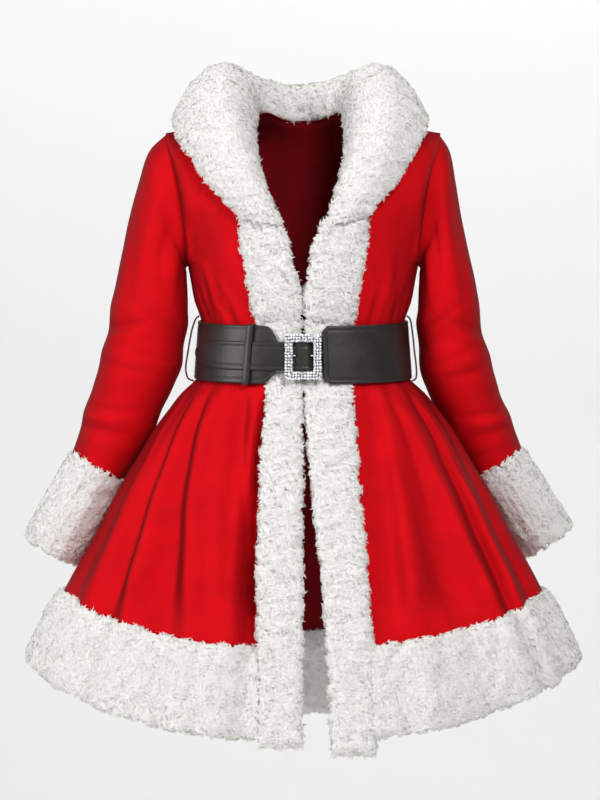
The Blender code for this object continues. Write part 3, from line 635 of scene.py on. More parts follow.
def grid_numbers(rows: int, columns: int, across: bool = False, along: bool = False) -> Array:
    """The numbers of a grid's points, with the first column or row repeated at the end where it is closed.

    Args:
        rows: how many rows there are.
        columns: how many columns.
        across: whether the last column meets the first.
        along: whether the last row meets the first.

    Returns:
        The numbers, row by row.
    """
    number = np.arange(rows * columns).reshape(rows, columns)
    if along:
        number = np.concatenate([number, number[:1]])
    return np.concatenate([number, number[:, :1]], 1) if across else number


def cell_faces(number: Array) -> Array:
    """The faces between a grid's numbered points, four corners each."""
    corners = number[:-1, :-1], number[1:, :-1], number[1:, 1:], number[:-1, 1:]
    return np.stack([corner.ravel() for corner in corners], 1)


@dataclass
class Surface:
    """A grid of points, rows by columns, that can be closed across its columns.

    Attributes:
        points: an array of rows x columns x 3.
        around: whether the last column meets the first.
    """

    points: Array
    around: bool = False

    def normals(self) -> Array:
        """Unit normals: the cross product of the differences across and down.

        Returns:
            One normal for each point.
        """
        down = np.gradient(self.points, axis=0)
        if self.around:
            across = np.roll(self.points, -1, 1) - np.roll(self.points, 1, 1)
        else:
            across = np.gradient(self.points, axis=1)
        return unit(np.cross(across, down))

    def outward(self, centre: Array) -> Array:
        """The same normals, turned as a whole away from the centre points."""
        found = self.normals()
        return found * np.sign((found * (self.points - centre)).sum(-1).mean())

    def quads(self) -> Array:
        """The grid's faces, four point numbers each."""
        return cell_faces(grid_numbers(*self.points.shape[:2], across=self.around))


def facing_out(points: Array, faces: Array) -> Array:
    """The faces of a closed mesh, turned round as a whole if its volume, from a sum over them, is negative.

    Args:
        points: the mesh's points.
        faces: its faces.

    Returns:
        The faces, with the same corners.
    """
    corners = points[faces]
    volume = 0.0
    for i in range(1, faces.shape[1] - 1):
        volume += np.einsum("ij,ij->", corners[:, 0], np.cross(corners[:, i], corners[:, i + 1]))
    return faces[:, ::-1] if volume < 0 else faces


def build_mesh(
    name: str, points: Array, faces: Array, finishes: list[Material], slots: Array | None = None, smooth: bool = True
) -> Object:
    """Puts a mesh object into the scene.

    Args:
        name: the object's name.
        points: its points, n x 3.
        faces: its faces, all with the same number of corners.
        finishes: its materials.
        slots: for each face, which finish it has.
        smooth: whether it is shaded smooth.

    Returns:
        The object, at the origin.
    """
    mesh = bpy.data.meshes.new(name)
    corners = faces.shape[1]
    mesh.vertices.add(len(points))
    mesh.vertices.foreach_set("co", np.ascontiguousarray(points, np.float32).ravel())
    mesh.loops.add(faces.size)
    mesh.loops.foreach_set("vertex_index", np.ascontiguousarray(faces, np.int32).ravel())
    mesh.polygons.add(len(faces))
    mesh.polygons.foreach_set("loop_start", np.arange(0, faces.size, corners, dtype=np.int32))
    for finish in finishes:
        mesh.materials.append(finish)
    if slots is not None:
        mesh.polygons.foreach_set("material_index", np.asarray(slots, np.int32))
    mesh.polygons.foreach_set("use_smooth", np.full(len(faces), smooth))
    mesh.update(calc_edges=True)
    made = bpy.data.objects.new(name, mesh)
    bpy.context.scene.collection.objects.link(made)
    return made


def set_pile(thing: Object, pile: Array) -> None:
    """Stores how high on the pile each point is, from 0 to 1, in the attribute pile, which the plush paints as shade
    low on the pile.
    """
    attribute = thing.data.attributes.new("pile", "FLOAT", "POINT")
    attribute.data.foreach_set("value", np.ascontiguousarray(pile, np.float32).ravel())


def wall(name: str, outer: Array, inner: Array, finishes: list[Material], around: bool = False) -> Object:
    """A closed wall between two grids of the same shape, with a rim along each open border.

    Args:
        name: the object's name.
        outer: the outer grid, rows x columns x 3.
        inner: the inner grid.
        finishes: the outer finish, then the inner one if it differs.
        around: whether the grids are closed across their columns.

    Returns:
        The object. Its rims have the inner finish.
    """
    rows, columns = outer.shape[:2]
    number = grid_numbers(rows, columns, around)
    face = cell_faces(number)
    back = rows * columns
    rims = [(number[0], False), (number[-1], True)]
    if not around:
        rims += [(number[:, 0], True), (number[:, -1], False)]
    made = [face, face[:, ::-1] + back]
    for line, turned in rims:
        rim = np.stack([line[:-1], line[1:], line[1:] + back, line[:-1] + back], 1)
        made.append(rim[:, ::-1] if turned else rim)
    faces = np.concatenate(made)
    slots = np.zeros(len(faces), int)
    slots[len(face) :] = len(finishes) - 1
    points = np.concatenate([outer.reshape(-1, 3), inner.reshape(-1, 3)])
    turned_out = facing_out(points, faces)
    return build_mesh(name, points, turned_out, finishes, slots)


def finish_piece(thing: Object, slot: str, *nodes: str) -> Object:
    """Fixes a piece to the dress and hides the CAD nodes that it stands for.

    Args:
        thing: the piece.
        slot: not used.
        nodes: the CAD nodes, if any.

    Returns:
        The same piece.
    """
    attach(thing, "root")
    if nodes:
        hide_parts(*nodes)
    LOG.info("%s: %d faces", thing.name, len(thing.data.polygons))
    return thing


@dataclass
class DressForm:
    """The form that the dress is cut to, as ovals at each drop, with its folds.

    Attributes:
        section_power: how squared the ovals are. 2 is an ellipse.
        waist_drop, underarm_drop, shoulder_tip_drop: heights of the cut's main lines.
        seam_drops, hem_drops: the hem seam and the hem in the middle and at the side.
        armhole_half_depth: half the armhole's depth from front to back.
        armhole_ease_start: how far out across a row, from 0 to 1, the armhole's depth begins to tell.
        seam_gap, strip_seam_gap: the gap between two pieces of the solid form, and beside a front strip.
        neck_half_width, neck_rise: half the width of the nape's rise, and its height.
        neck_corner: the place, spread and height of the lift at both corners of the back's neck edge.
        fold_drops: where the folds start and where they are full.
        fold_start: how much of a fold is there soon below the belt, and by which share of its way down.
        waist_spread: a fold's width at the waist, as a multiple of its width at the hem.
        run_power: how soon the folds move towards their places at the hem.
        steep_share, gentle_share: the widths of a fold's two flanks, as shares of its width.
        softening_start, hem_share: where the folds start to soften, and how much of their height the hem keeps.
        belt_half_height, belt_dip: half the belt's height, and how far it hangs lower at the front.
        gather_depth, gather_spacing: the gathers' height above the belt, and their distance in degrees.
        gather_front, gather_back: the degrees over which the gathers fade in and out.
        gather_drops, gather_fade: the drops over which they grow, and how close to the belt they end.
        body, yoke, neck_edge, trim, folds: the tables of the form.
        creases, back_creases: the finer creases of the front and the back.
    """

    section_power: float = 2.2
    waist_drop: float = 0.324
    underarm_drop: float = 0.207
    shoulder_tip_drop: float = 0.024
    seam_drops: tuple[float, float] = (0.725, 0.657)
    hem_drops: tuple[float, float] = (0.850, 0.756)
    armhole_half_depth: float = 0.051
    armhole_ease_start: float = 0.86
    seam_gap: float = 0.0003
    strip_seam_gap: float = 0.0011
    neck_half_width: float = 0.075
    neck_rise: float = 0.006
    neck_corner: tuple[float, float, float] = (0.052, 0.019, 0.013)
    fold_drops: tuple[float, float] = (0.376, 0.700)
    fold_start: tuple[float, float] = (0.35, 0.12)
    waist_spread: float = 1.6
    run_power: float = 0.7
    steep_share: float = 0.6
    gentle_share: float = 1.4
    softening_start: float = 0.80
    hem_share: float = 0.45
    belt_half_height: float = 0.0395
    belt_dip: float = 0.010
    gather_depth: float = 0.0006
    gather_spacing: float = 9.0
    gather_front: tuple[float, float] = (28.0, 36.0)
    gather_back: tuple[float, float] = (144.0, 152.0)
    gather_drops: tuple[float, float] = (0.220, 0.262)
    gather_fade: float = 0.010

    # The tables for the body and the yoke each reach one row past the underarm, so both have the same slope there.
    body: tuple[BodyRow, ...] = rows_of(
        BodyRow, (0.178, 0.162, 0.115, 0.104), (0.207, 0.16, 0.113, 0.102), (0.229, 0.156, 0.11, 0.1),
        (0.256, 0.1505, 0.105, 0.097), (0.284, 0.1415, 0.099, 0.093), (0.324, 0.143, 0.096, 0.091),
        (0.364, 0.147, 0.098, 0.094), (0.385, 0.169, 0.104, 0.102), (0.407, 0.186, 0.108, 0.107),
        (0.431, 0.204, 0.112, 0.111), (0.482, 0.234, 0.12, 0.12), (0.523, 0.259, 0.127, 0.128),
        (0.58, 0.288, 0.136, 0.138), (0.62, 0.311, 0.143, 0.145), (0.657, 0.331, 0.149, 0.151),
        (0.73, 0.368, 0.16, 0.162), (0.86, 0.425, 0.177, 0.179),
    )
    yoke: tuple[YokeRow, ...] = rows_of(
        YokeRow, (0.024, 0.006, 0.191, 0.0002, 0.0002, 0.069), (0.042, 0.028, 0.187, 0.058, 0.07, 0.016),
        (0.068, 0.06, 0.18, 0.092, 0.094, 0.004), (0.104, 0.102, 0.172, 0.109, 0.103, 0.0),
        (0.143, 0.143, 0.166, 0.116, 0.105, 0.0), (0.178, 0.178, 0.162, 0.115, 0.104, 0.0),
        (0.207, 0.207, 0.16, 0.113, 0.102, 0.0), (0.229, 0.229, 0.156, 0.11, 0.1, 0.0),
    )
    neck_edge: tuple[EdgeRow, ...] = rows_of(
        EdgeRow, (0.006, 0.07), (0.025, 0.078), (0.06, 0.086), (0.1, 0.093), (0.126, 0.0935), (0.148, 0.0875),
    )
    trim: tuple[TrimRow, ...] = rows_of(
        TrimRow, (0.14, 0.086, 0.04, 0.086, 0.036), (0.164, 0.085, 0.025, 0.088, 0.021),
        (0.213, 0.079, 0.013, 0.082, 0.009), (0.262, 0.071, 0.0015, 0.074, 0.0015),
        (0.3, 0.06, 0.0012, 0.069, 0.0012), (0.34, 0.056, 0.0012, 0.068, 0.0012),
        (0.392, 0.05, 0.0012, 0.067, 0.0015), (0.456, 0.056, 0.0012, 0.072, 0.006),
        (0.524, 0.059, 0.0012, 0.077, 0.013), (0.588, 0.061, 0.0012, 0.083, 0.02),
        (0.659, 0.062, 0.0012, 0.089, 0.027), (0.73, 0.06, 0.0012, 0.094, 0.032), (0.87, 0.061, 0.0012, 0.098, 0.038),
    )
    folds: tuple[Fold, ...] = rows_of(
        Fold, (-27.0, -9.5, 3.0, -0.024), (-36.0, -15.0, 4.0, 0.008), (-47.0, -23.2, 3.4, 0.018),
        (-51.0, -28.5, 4.0, -0.012), (-57.5, -41.5, 3.6, 0.016), (-62.0, -46.5, 4.2, -0.012),
        (-72.0, -58.0, 4.5, 0.007), (-79.0, -68.0, 5.0, -0.006), (29.0, 18.5, 3.4, -0.011), (36.0, 22.5, 3.4, 0.014),
        (39.5, 36.0, 4.5, -0.01), (43.0, 49.0, 3.6, 0.013), (57.0, 53.5, 3.2, -0.01), (62.0, 57.5, 3.4, 0.013),
        (74.0, 66.0, 4.5, -0.006), (85.0, 76.0, 5.0, 0.004), (103.0, 104.0, 5.5, 0.006), (115.0, 116.0, 6.0, -0.011),
        (127.0, 128.0, 5.0, 0.011), (139.0, 141.0, 6.0, -0.012), (152.0, 154.0, 5.0, 0.011),
        (165.0, 166.0, 6.0, -0.011), (178.0, 177.0, 5.0, 0.011), (190.0, 189.0, 6.0, -0.01),
        (203.0, 201.0, 5.0, 0.011), (215.0, 213.0, 6.0, -0.012), (228.0, 226.0, 5.0, 0.009),
        (240.0, 238.0, 6.0, -0.011), (254.0, 252.0, 5.5, 0.002),
    )
    # Creases placed one by one: across in degrees from the middle of the front, down as a drop, widths in degrees.
    creases: tuple[Crease, ...] = rows_of(
        Crease, (-58, 0.205, -47, 0.302, 1.0, 3.4, 0.0024), (-46, 0.225, -33, 0.302, 1.0, 3.2, 0.0022),
        (-72, 0.235, -60, 0.302, 0.5, 3.6, -0.0016), (-51, 0.255, -40, 0.302, 1.5, 2.6, -0.0016),
        (47, 0.19, 52, 0.302, -1.0, 3.6, 0.0024), (66, 0.235, 61, 0.302, -1.0, 3.4, -0.0018),
        (41, 0.25, 38, 0.302, 0.0, 2.8, -0.0014), (-68, 0.352, -63, 0.5, -1.0, 3.8, -0.0021),
        (-60, 0.352, -54, 0.56, -1.5, 3.8, 0.0019), (-50, 0.352, -42, 0.48, 1.0, 3.2, -0.0019),
        (-41, 0.352, -32, 0.6, 1.0, 3.5, 0.0019), (-36, 0.352, -28, 0.52, 0.5, 2.6, -0.002),
        (-79, 0.352, -76, 0.47, 0.0, 3.8, 0.0016), (30, 0.352, 27, 0.5, 0.5, 2.8, -0.0016),
        (37, 0.352, 35, 0.56, 1.0, 3.2, 0.0017), (44, 0.352, 45, 0.52, -1.0, 3.2, -0.0019),
        (53, 0.352, 54, 0.48, -1.5, 3.5, 0.0019), (62, 0.352, 61, 0.54, -1.0, 3.5, -0.0017),
        (70, 0.352, 67, 0.5, -1.0, 3.5, 0.0017), (80, 0.352, 75, 0.47, 0.0, 3.8, -0.0016),
        (-55, 0.52, -50, 0.715, 2.0, 2.9, 0.0014), (-31, 0.56, -29, 0.72, -1.0, 2.3, -0.0015),
        (-22, 0.5, -19, 0.715, 0.6, 2.2, 0.0012), (31, 0.54, 33, 0.715, 0.8, 2.6, -0.0012),
        (44, 0.56, 45, 0.705, -0.8, 2.6, 0.0012), (57, 0.43, 66, 0.64, 2.5, 2.9, -0.0016),
        (-15.0, 0.38, -9.0, 0.75, 0.0, 2.0, -0.027), (-20.0, 0.44, -13.2, 0.7, 0.0, 1.8, 0.006),
    )
    # The same kinds of crease round the back, kept plainer than on the front.
    back_creases: tuple[Crease, ...] = tuple(
        Crease(angle, 0.352, angle + lean, 0.352 + reach, 0.5, 2.6, height)
        for angle, lean, reach, height in (
            (100, 2, 0.15, 0.0026), (109, 1, 0.20, -0.0028), (121, 1, 0.14, 0.0024), (133, 2, 0.22, -0.0028),
            (146, 1, 0.16, 0.0028), (158, 0, 0.20, -0.0026), (171, 0, 0.15, 0.0028), (184, -1, 0.21, -0.0028),
            (197, -1, 0.16, 0.0026), (209, -2, 0.19, -0.0026), (222, -1, 0.15, 0.0024), (234, -1, 0.20, -0.0028),
            (247, -2, 0.16, 0.0026), (260, -1, 0.14, -0.0022),
        )
    )

    @property
    def half_gap(self) -> float:
        """Half of a seam's gap."""
        return self.seam_gap / 2

    def oval(self, angle: Array, half_width: Array, depth: Array) -> tuple[Array, Array]:
        """x = half_width * sin(angle)^(2/p) and y = -depth * cos(angle)^(2/p), where p is section_power."""
        x = half_width * signed_power(np.sin(angle), 2 / self.section_power)
        return x, -depth * signed_power(np.cos(angle), 2 / self.section_power)

    def oval_angle(self, x: Array, half_width: Array) -> Array:
        """The angle at which the front of the oval passes over x."""
        return np.arcsin(np.clip(signed_power(x / half_width, self.section_power / 2), -1.0, 1.0))

    def fold_height(self, angle: Array, drop: Array) -> Array:
        """A sum of bell curves, one for each fold, that move, narrow and grow from the waist to the hem.

        A ridge is steep on its left and gentle on its right, and a valley the other way round, so that the cloth
        rolls over. Towards the hem seam the folds grow softer.

        Args:
            angle: angles round the dress, from the middle of the front.
            drop: the drops.

        Returns:
            How far out the folds move each point.
        """
        degrees = np.degrees(angle)
        degrees = np.where(degrees < -90, degrees + 360, degrees)
        start, full = self.fold_drops
        down = np.clip((drop - start) / (full - start), 0.0, 1.0)
        first, first_end = self.fold_start
        grown = first * soft_step(down, 0.0, first_end) + (1 - first) * down
        softened = soft_step(down, self.softening_start, 1.0)
        grown = grown * (1 + (self.hem_share - 1) * softened)
        total = np.zeros(np.broadcast(degrees, drop).shape)
        for fold in self.folds:
            turn = (fold.hem_angle - fold.waist_angle) * down**self.run_power
            across = degrees - fold.waist_angle - turn
            lean = np.where(across * fold.depth < 0, self.steep_share, self.gentle_share)
            spread = self.waist_spread - (self.waist_spread - 1) * down
            width = fold.width * spread * (lean + (1 - lean) * softened)
            total += fold.depth * np.exp(-((across / width) ** 2)) * grown
        return total

    def crease_at(self, angle: Array, drop: Array) -> Array:
        """The listed creases, and their plainer fellows round the back.

        Args:
            angle: angles round the dress, from the middle of the front.
            drop: the drops.

        Returns:
            How far out the creases move each point.
        """
        degrees = np.degrees(angle)
        degrees = np.where(degrees < -90, degrees + 360, degrees)
        front = crease_height(self.creases, degrees, drop)
        return front + crease_height(self.back_creases, degrees, drop)

    def gather_height(self, angle: Array, drop: Array) -> Array:
        """A cosine wave round the dress just above the belt, fading out before the strips and the back.

        Args:
            angle: angles round the dress, from the middle of the front.
            drop: the drops.

        Returns:
            How far out the gathers move each point.
        """
        degrees = np.abs(np.degrees(angle))
        wave = np.cos(2 * np.pi * degrees / self.gather_spacing)
        back_start, back_end = self.gather_back
        across = soft_step(degrees, *self.gather_front) * soft_step(back_end - degrees, 0.0, back_end - back_start)
        belt_top = self.waist_drop + self.belt_dip * np.cos(angle) - self.belt_half_height
        above_belt = soft_step(belt_top - drop, 0.0, self.gather_fade)
        return self.gather_depth * wave * across * soft_step(drop, *self.gather_drops) * above_belt

    def point(self, angle: Array, drop: Array, outwards: Array = 0.0, relief: bool = True) -> Array:
        """A point below the underarm, moved out along the oval's normal by its folds and by outwards.

        Args:
            angle: angles round the dress, from the middle of the front.
            drop: the drops.
            outwards: how far each point is moved out.
            relief: whether it has folds, gathers and creases.

        Returns:
            The points.
        """
        angle, drop = np.broadcast_arrays(np.asarray(angle, float), np.asarray(drop, float))
        half_width = from_table(self.body, "half_width", drop)
        front, back = (from_table(self.body, name, drop) for name in ("front_depth", "back_depth"))
        depth = np.where(np.cos(angle) >= 0, front, back)
        x, y = self.oval(angle, half_width, depth)
        normal = unit(np.stack([np.sin(angle) / half_width, -np.cos(angle) / depth], -1))
        out = np.asarray(outwards, float)
        if relief:
            out = out + self.fold_height(angle, drop) + self.gather_height(angle, drop) + self.crease_at(angle, drop)
        return np.stack([x + normal[..., 0] * out, y + normal[..., 1] * out, -drop], -1)

    def seam_drop(self, angle: Array) -> Array:
        """The drop of the seam between the velvet and the hem band."""
        middle, side = self.seam_drops
        return middle - (middle - side) * np.sin(angle) ** 2

    def hem_drop(self, angle: Array) -> Array:
        """The drop of the hem."""
        middle, side = self.hem_drops
        return middle - (middle - side) * np.sin(angle) ** 2

    def strip_edge(self, side: Side, which: str, drop: Array) -> Array:
        """The distance of a strip's inner or outer edge from the middle."""
        return from_table(self.trim, f"{side.value}_{which}", drop)

    def velvet_edge(self, side: Side, drop: Array) -> Array:
        """Where a front panel's velvet begins: on the neckline above the strip, and beside the strip below."""
        neck = from_table(self.neck_edge, "half_width", drop)
        return np.where(drop < self.neck_edge[-1].drop, neck, self.strip_edge(side, "outer", drop))

    def armhole_depth(self, drop: Array) -> Array:
        """Half the armhole's depth: the height of an upright oval from the shoulder tip to the underarm.

        Args:
            drop: the drops.

        Returns:
            Half the depth at each drop.
        """
        middle = (self.underarm_drop + self.shoulder_tip_drop) / 2
        half = (self.underarm_drop - self.shoulder_tip_drop) / 2
        share = np.clip((drop - middle) / half, -1.0, 1.0)
        return self.half_gap + self.armhole_half_depth * np.sqrt(1 - share**2)

    def armhole_drop(self, turn: Array) -> Array:
        """The drop of the armhole's edge while turn goes from 0, its top, to pi, the underarm."""
        middle = (self.underarm_drop + self.shoulder_tip_drop) / 2
        return middle - (self.underarm_drop - self.shoulder_tip_drop) / 2 * np.cos(turn)

    def shoulder_depth(self, drop: Array, angle: Array) -> Array:
        """The armhole's half depth as it tells across a row: whole at the side, eased near the underarm inside.

        Args:
            drop: the drops at the side.
            angle: angles round the dress, from the middle of the front.

        Returns:
            The half depth at each point.
        """
        middle = (self.underarm_drop + self.shoulder_tip_drop) / 2
        eased = self.half_gap + self.armhole_half_depth * (1 - soft_step(drop, middle, self.underarm_drop))
        edge = self.armhole_depth(drop)
        inside = np.minimum(edge, eased)
        near = soft_step(np.abs(np.sin(angle)), self.armhole_ease_start, 1.0) ** 2
        return inside + (edge - inside) * near

    def yoke_value(self, name: str, side_drop: Array) -> Array:
        """A column of the yoke's table."""
        return from_table(self.yoke, name, side_drop, "side_drop")

    def front_y(self, x: Array, drop: Array) -> Array:
        """How far forward the plain front is at x, as a negative y.

        Args:
            x: distances from the middle.
            drop: the drops.

        Returns:
            The y at each place.
        """
        low = drop >= self.underarm_drop
        half_width = np.where(low, from_table(self.body, "half_width", drop), self.yoke_value("side_x", drop))
        depth = np.where(low, from_table(self.body, "front_depth", drop), self.yoke_value("front_depth", drop))
        angle = self.oval_angle(x, half_width)
        side_y = self.shoulder_depth(drop, angle)
        return -side_y + self.oval(angle, half_width, depth - side_y)[1]


def upright_line(points: Array) -> Array:
    """The dress's middle line at each point's height."""
    return points * np.array([0.0, 0.0, 1.0])


@dataclass
class VelvetShell:
    """The velvet panels of the bodice and the skirt, each a thin shell on the dress's form.

    Attributes:
        form: the dress's form.
        finishes: the velvet's right side and wrong side.
        thickness: the velvet's thickness.
        tuck: how far a panel runs in under the plush that it is sewn to.
        bodice_rows: the rows along the armhole and from there to the waist.
        bodice_columns, back_columns, skirt_rows, skirt_columns, skirt_back_columns: how fine the other grids are.
        shoulder_centre_drop: above this drop a panel is thickened towards the point at it.
        side_fade: the angle before the side seam over which the yoke's creases fade.
        cuts: each panel's flat size.
        yoke_creases: creases from the armhole and the shoulder, across in degrees round the bodice.
    """

    form: DressForm
    finishes: list[Material]
    thickness: float = 0.002
    tuck: float = 0.004
    bodice_rows: tuple[int, int] = (30, 28)
    bodice_columns: int = 56
    back_columns: int = 92
    skirt_rows: int = 50
    skirt_columns: int = 110
    skirt_back_columns: int = 170
    shoulder_centre_drop: float = 0.12
    side_fade: float = 0.05
    cuts: dict[str, Cut] = field(default_factory=lambda: {
        "bodice_front_left": Cut(0.20, 0.34, 0.043),
        "bodice_front_right": Cut(0.20, 0.34, 0.043),
        "bodice_back": Cut(0.47, 0.34, 0.138),
        "skirt_front_left": Cut(0.40, 0.43, 0.109),
        "skirt_front_right": Cut(0.37, 0.43, 0.098),
        "skirt_back": Cut(0.98, 0.43, 0.250),
    })
    yoke_creases: tuple[Crease, ...] = rows_of(
        Crease, (77, 0.06, 66, 0.24, -4.0, 7.0, 0.0014), (62, 0.095, 50, 0.245, -3.0, 7.0, -0.0009),
    )

    def wall_of(self, node: str, grid: Array) -> Object:
        """Args:
            node: the CAD node that it stands for.
            grid: its outer face.

        Returns:
            The panel.
        """
        centre = upright_line(grid)
        centre[..., 2] = np.minimum(centre[..., 2], -self.shoulder_centre_drop)
        out = Surface(grid).outward(centre)
        made = wall("velvet_" + node, grid, grid - out * self.thickness, self.finishes)
        finish_piece(made, "red_velvet", node)
        return made

    def side_drops(self) -> Array:
        """The rows' drops at the side: round the armhole, then evenly down to the waist.

        Returns:
            A column of drops.
        """
        top, low = self.bodice_rows
        above = self.form.armhole_drop(np.linspace(0, np.pi, top + 1))
        below = np.linspace(self.form.underarm_drop, self.form.waist_drop - self.form.half_gap, low + 1)
        return np.concatenate([above, below[1:]])[:, None]

    def bodice_row(self, drop: Array, depth_name: str) -> tuple[Array, Array, Array]:
        """(side x, depth in the middle, inner drop) of each row.

        Args:
            drop: the rows' drops at the side.
            depth_name: the column of depths to use.

        Returns:
            Three columns.
        """
        form = self.form
        low = drop >= form.underarm_drop
        side_x = np.where(low, from_table(form.body, "half_width", drop), form.yoke_value("side_x", drop))
        depth = np.where(low, from_table(form.body, depth_name, drop), form.yoke_value(depth_name, drop))
        inner = np.where(low, drop, form.yoke_value("inner_drop", drop))
        return side_x, depth, inner

    def relief(self, angle: Array, drop: Array, sign: float) -> Array:
        """The gathers above the belt and the listed creases. Sign says which side the angle is on.

        Args:
            angle: angles round the dress, from the middle of the front.
            drop: the drops.
            sign: -1 on the left and 1 on the right.

        Returns:
            How far out each point is moved.
        """
        form = self.form
        height = form.gather_height(angle, drop) + form.crease_at(sign * angle, drop)
        fade = soft_step(np.pi / 2 - angle, 0.0, self.side_fade)
        return height + crease_height(self.yoke_creases, np.degrees(angle), drop) * fade

    def bodice_front(self, side: Side) -> Object:
        """A front panel, whose points lie on ovals from the strip to the side seam.

        Args:
            side: which side.

        Returns:
            The panel.
        """
        form, drops = self.form, self.side_drops()
        side_x, depth, inner = self.bodice_row(drops, "front_depth")
        edge = form.velvet_edge(side, inner) - self.tuck * (inner > form.neck_edge[-1].drop)
        start = form.oval_angle(edge, side_x)
        angle = start + (np.pi / 2 - start) * np.linspace(0, 1, self.bodice_columns + 1)[None, :]
        side_y = form.shoulder_depth(drops, angle)
        x, y = form.oval(angle, side_x, np.maximum(depth - side_y, 0.0))
        drop = inner + (drops - inner) * (x / side_x) ** 2
        out = self.relief(angle, drops + 0 * angle, side.sign)
        grid = np.stack([side.sign * (x + out * np.sin(angle)), y - side_y - out * np.cos(angle), -drop], -1)
        node = "bodice_front_" + side.value
        return self.wall_of(node, grid)

    def bodice_back(self) -> Object:
        """The back panel, which rises and stands out at the nape.

        Returns:
            The panel.
        """
        form, drops = self.form, self.side_drops()
        side_x, depth, inner = self.bodice_row(drops, "back_depth")
        angle = np.linspace(-np.pi / 2, np.pi / 2, self.back_columns + 1)[None, :]
        side_y = form.shoulder_depth(drops, angle)
        x, y = form.oval(angle, side_x, np.maximum(depth - side_y, 0.0))
        drop = inner + (drops - inner) * (x / side_x) ** 2
        neck = np.cos(np.clip(x / form.neck_half_width, -1, 1) * np.pi / 2)
        bulge = np.where(drops < form.underarm_drop, form.yoke_value("neck_bulge", drops), 0.0)
        place, spread, lift = form.neck_corner
        below = soft_step(drops, form.yoke[0].side_drop, form.yoke[2].side_drop)
        corner = lift * np.exp(-(((np.abs(x) - place) / spread) ** 2)) * (1 - below)
        rise = form.neck_rise * neck * bulge / form.yoke[0].neck_bulge + corner
        out = form.gather_height(np.pi - angle, drops) + form.crease_at(np.pi - angle, drops + 0 * angle)
        y = side_y - y + bulge * neck + out * np.cos(angle)
        return self.wall_of("bodice_back", np.stack([x + out * np.sin(angle), y, rise - drop], -1))

    def panel_angle(self, panel: Panel, drop: Array, share: Array) -> Array:
        """The angle at a share of the way across a skirt panel, from the strip to the side seam.

        Args:
            panel: which panel.
            drop: the drops.
            share: how far across, from 0 to 1.

        Returns:
            The angles.
        """
        form = self.form
        if panel is Panel.BACK:
            first = np.pi / 2 + form.half_gap / from_table(form.body, "back_depth", drop)
            return first + (2 * np.pi - 2 * first) * share
        side = Side(panel.value)
        half_width = from_table(form.body, "half_width", drop)
        edge = form.strip_edge(side, "outer", drop) + form.strip_seam_gap - self.tuck
        start = form.oval_angle(edge, half_width)
        end = np.pi / 2 - form.half_gap / from_table(form.body, "front_depth", drop)
        return side.sign * (start + (end - start) * share)

    def panel_grid(self, panel: Panel, top: EdgeDrop, bottom: EdgeDrop, rows: int, columns: int) -> Array:
        """Points between two edges whose drops depend on the angle, found by repeating the step four times.

        Args:
            panel: which panel.
            top: the drop of its upper edge at an angle.
            bottom: the drop of its lower edge.
            rows: how many steps down it has.
            columns: how many steps across.

        Returns:
            The grid.
        """
        across, down = np.linspace(0, 1, columns + 1)[None, :], np.linspace(0, 1, rows + 1)[:, None]
        drop = np.full((rows + 1, columns + 1), self.form.seam_drops[1])
        for _ in range(4):
            angle = self.panel_angle(panel, drop, across)
            drop = top(angle) + (bottom(angle) - top(angle)) * down
        return self.form.point(angle, drop)

    def waist_edge(self, angle: Array) -> Array:
        """The drop of the skirt's upper edge, at the waist seam."""
        return self.form.waist_drop + self.form.half_gap + 0 * angle

    def tucked_edge(self, angle: Array) -> Array:
        """The drop of the skirt's lower edge, which runs in under the hem band."""
        return self.form.seam_drop(angle) + self.tuck

    def skirt(self, panel: Panel) -> Object:
        """A flared skirt panel, gathered into the waist under the belt.

        Args:
            panel: which panel.

        Returns:
            The panel.
        """
        columns = self.skirt_back_columns if panel is Panel.BACK else self.skirt_columns
        grid = self.panel_grid(panel, self.waist_edge, self.tucked_edge, self.skirt_rows, columns)
        node = "skirt_back" if panel is Panel.BACK else "skirt_front_" + panel.value
        return self.wall_of(node, grid)


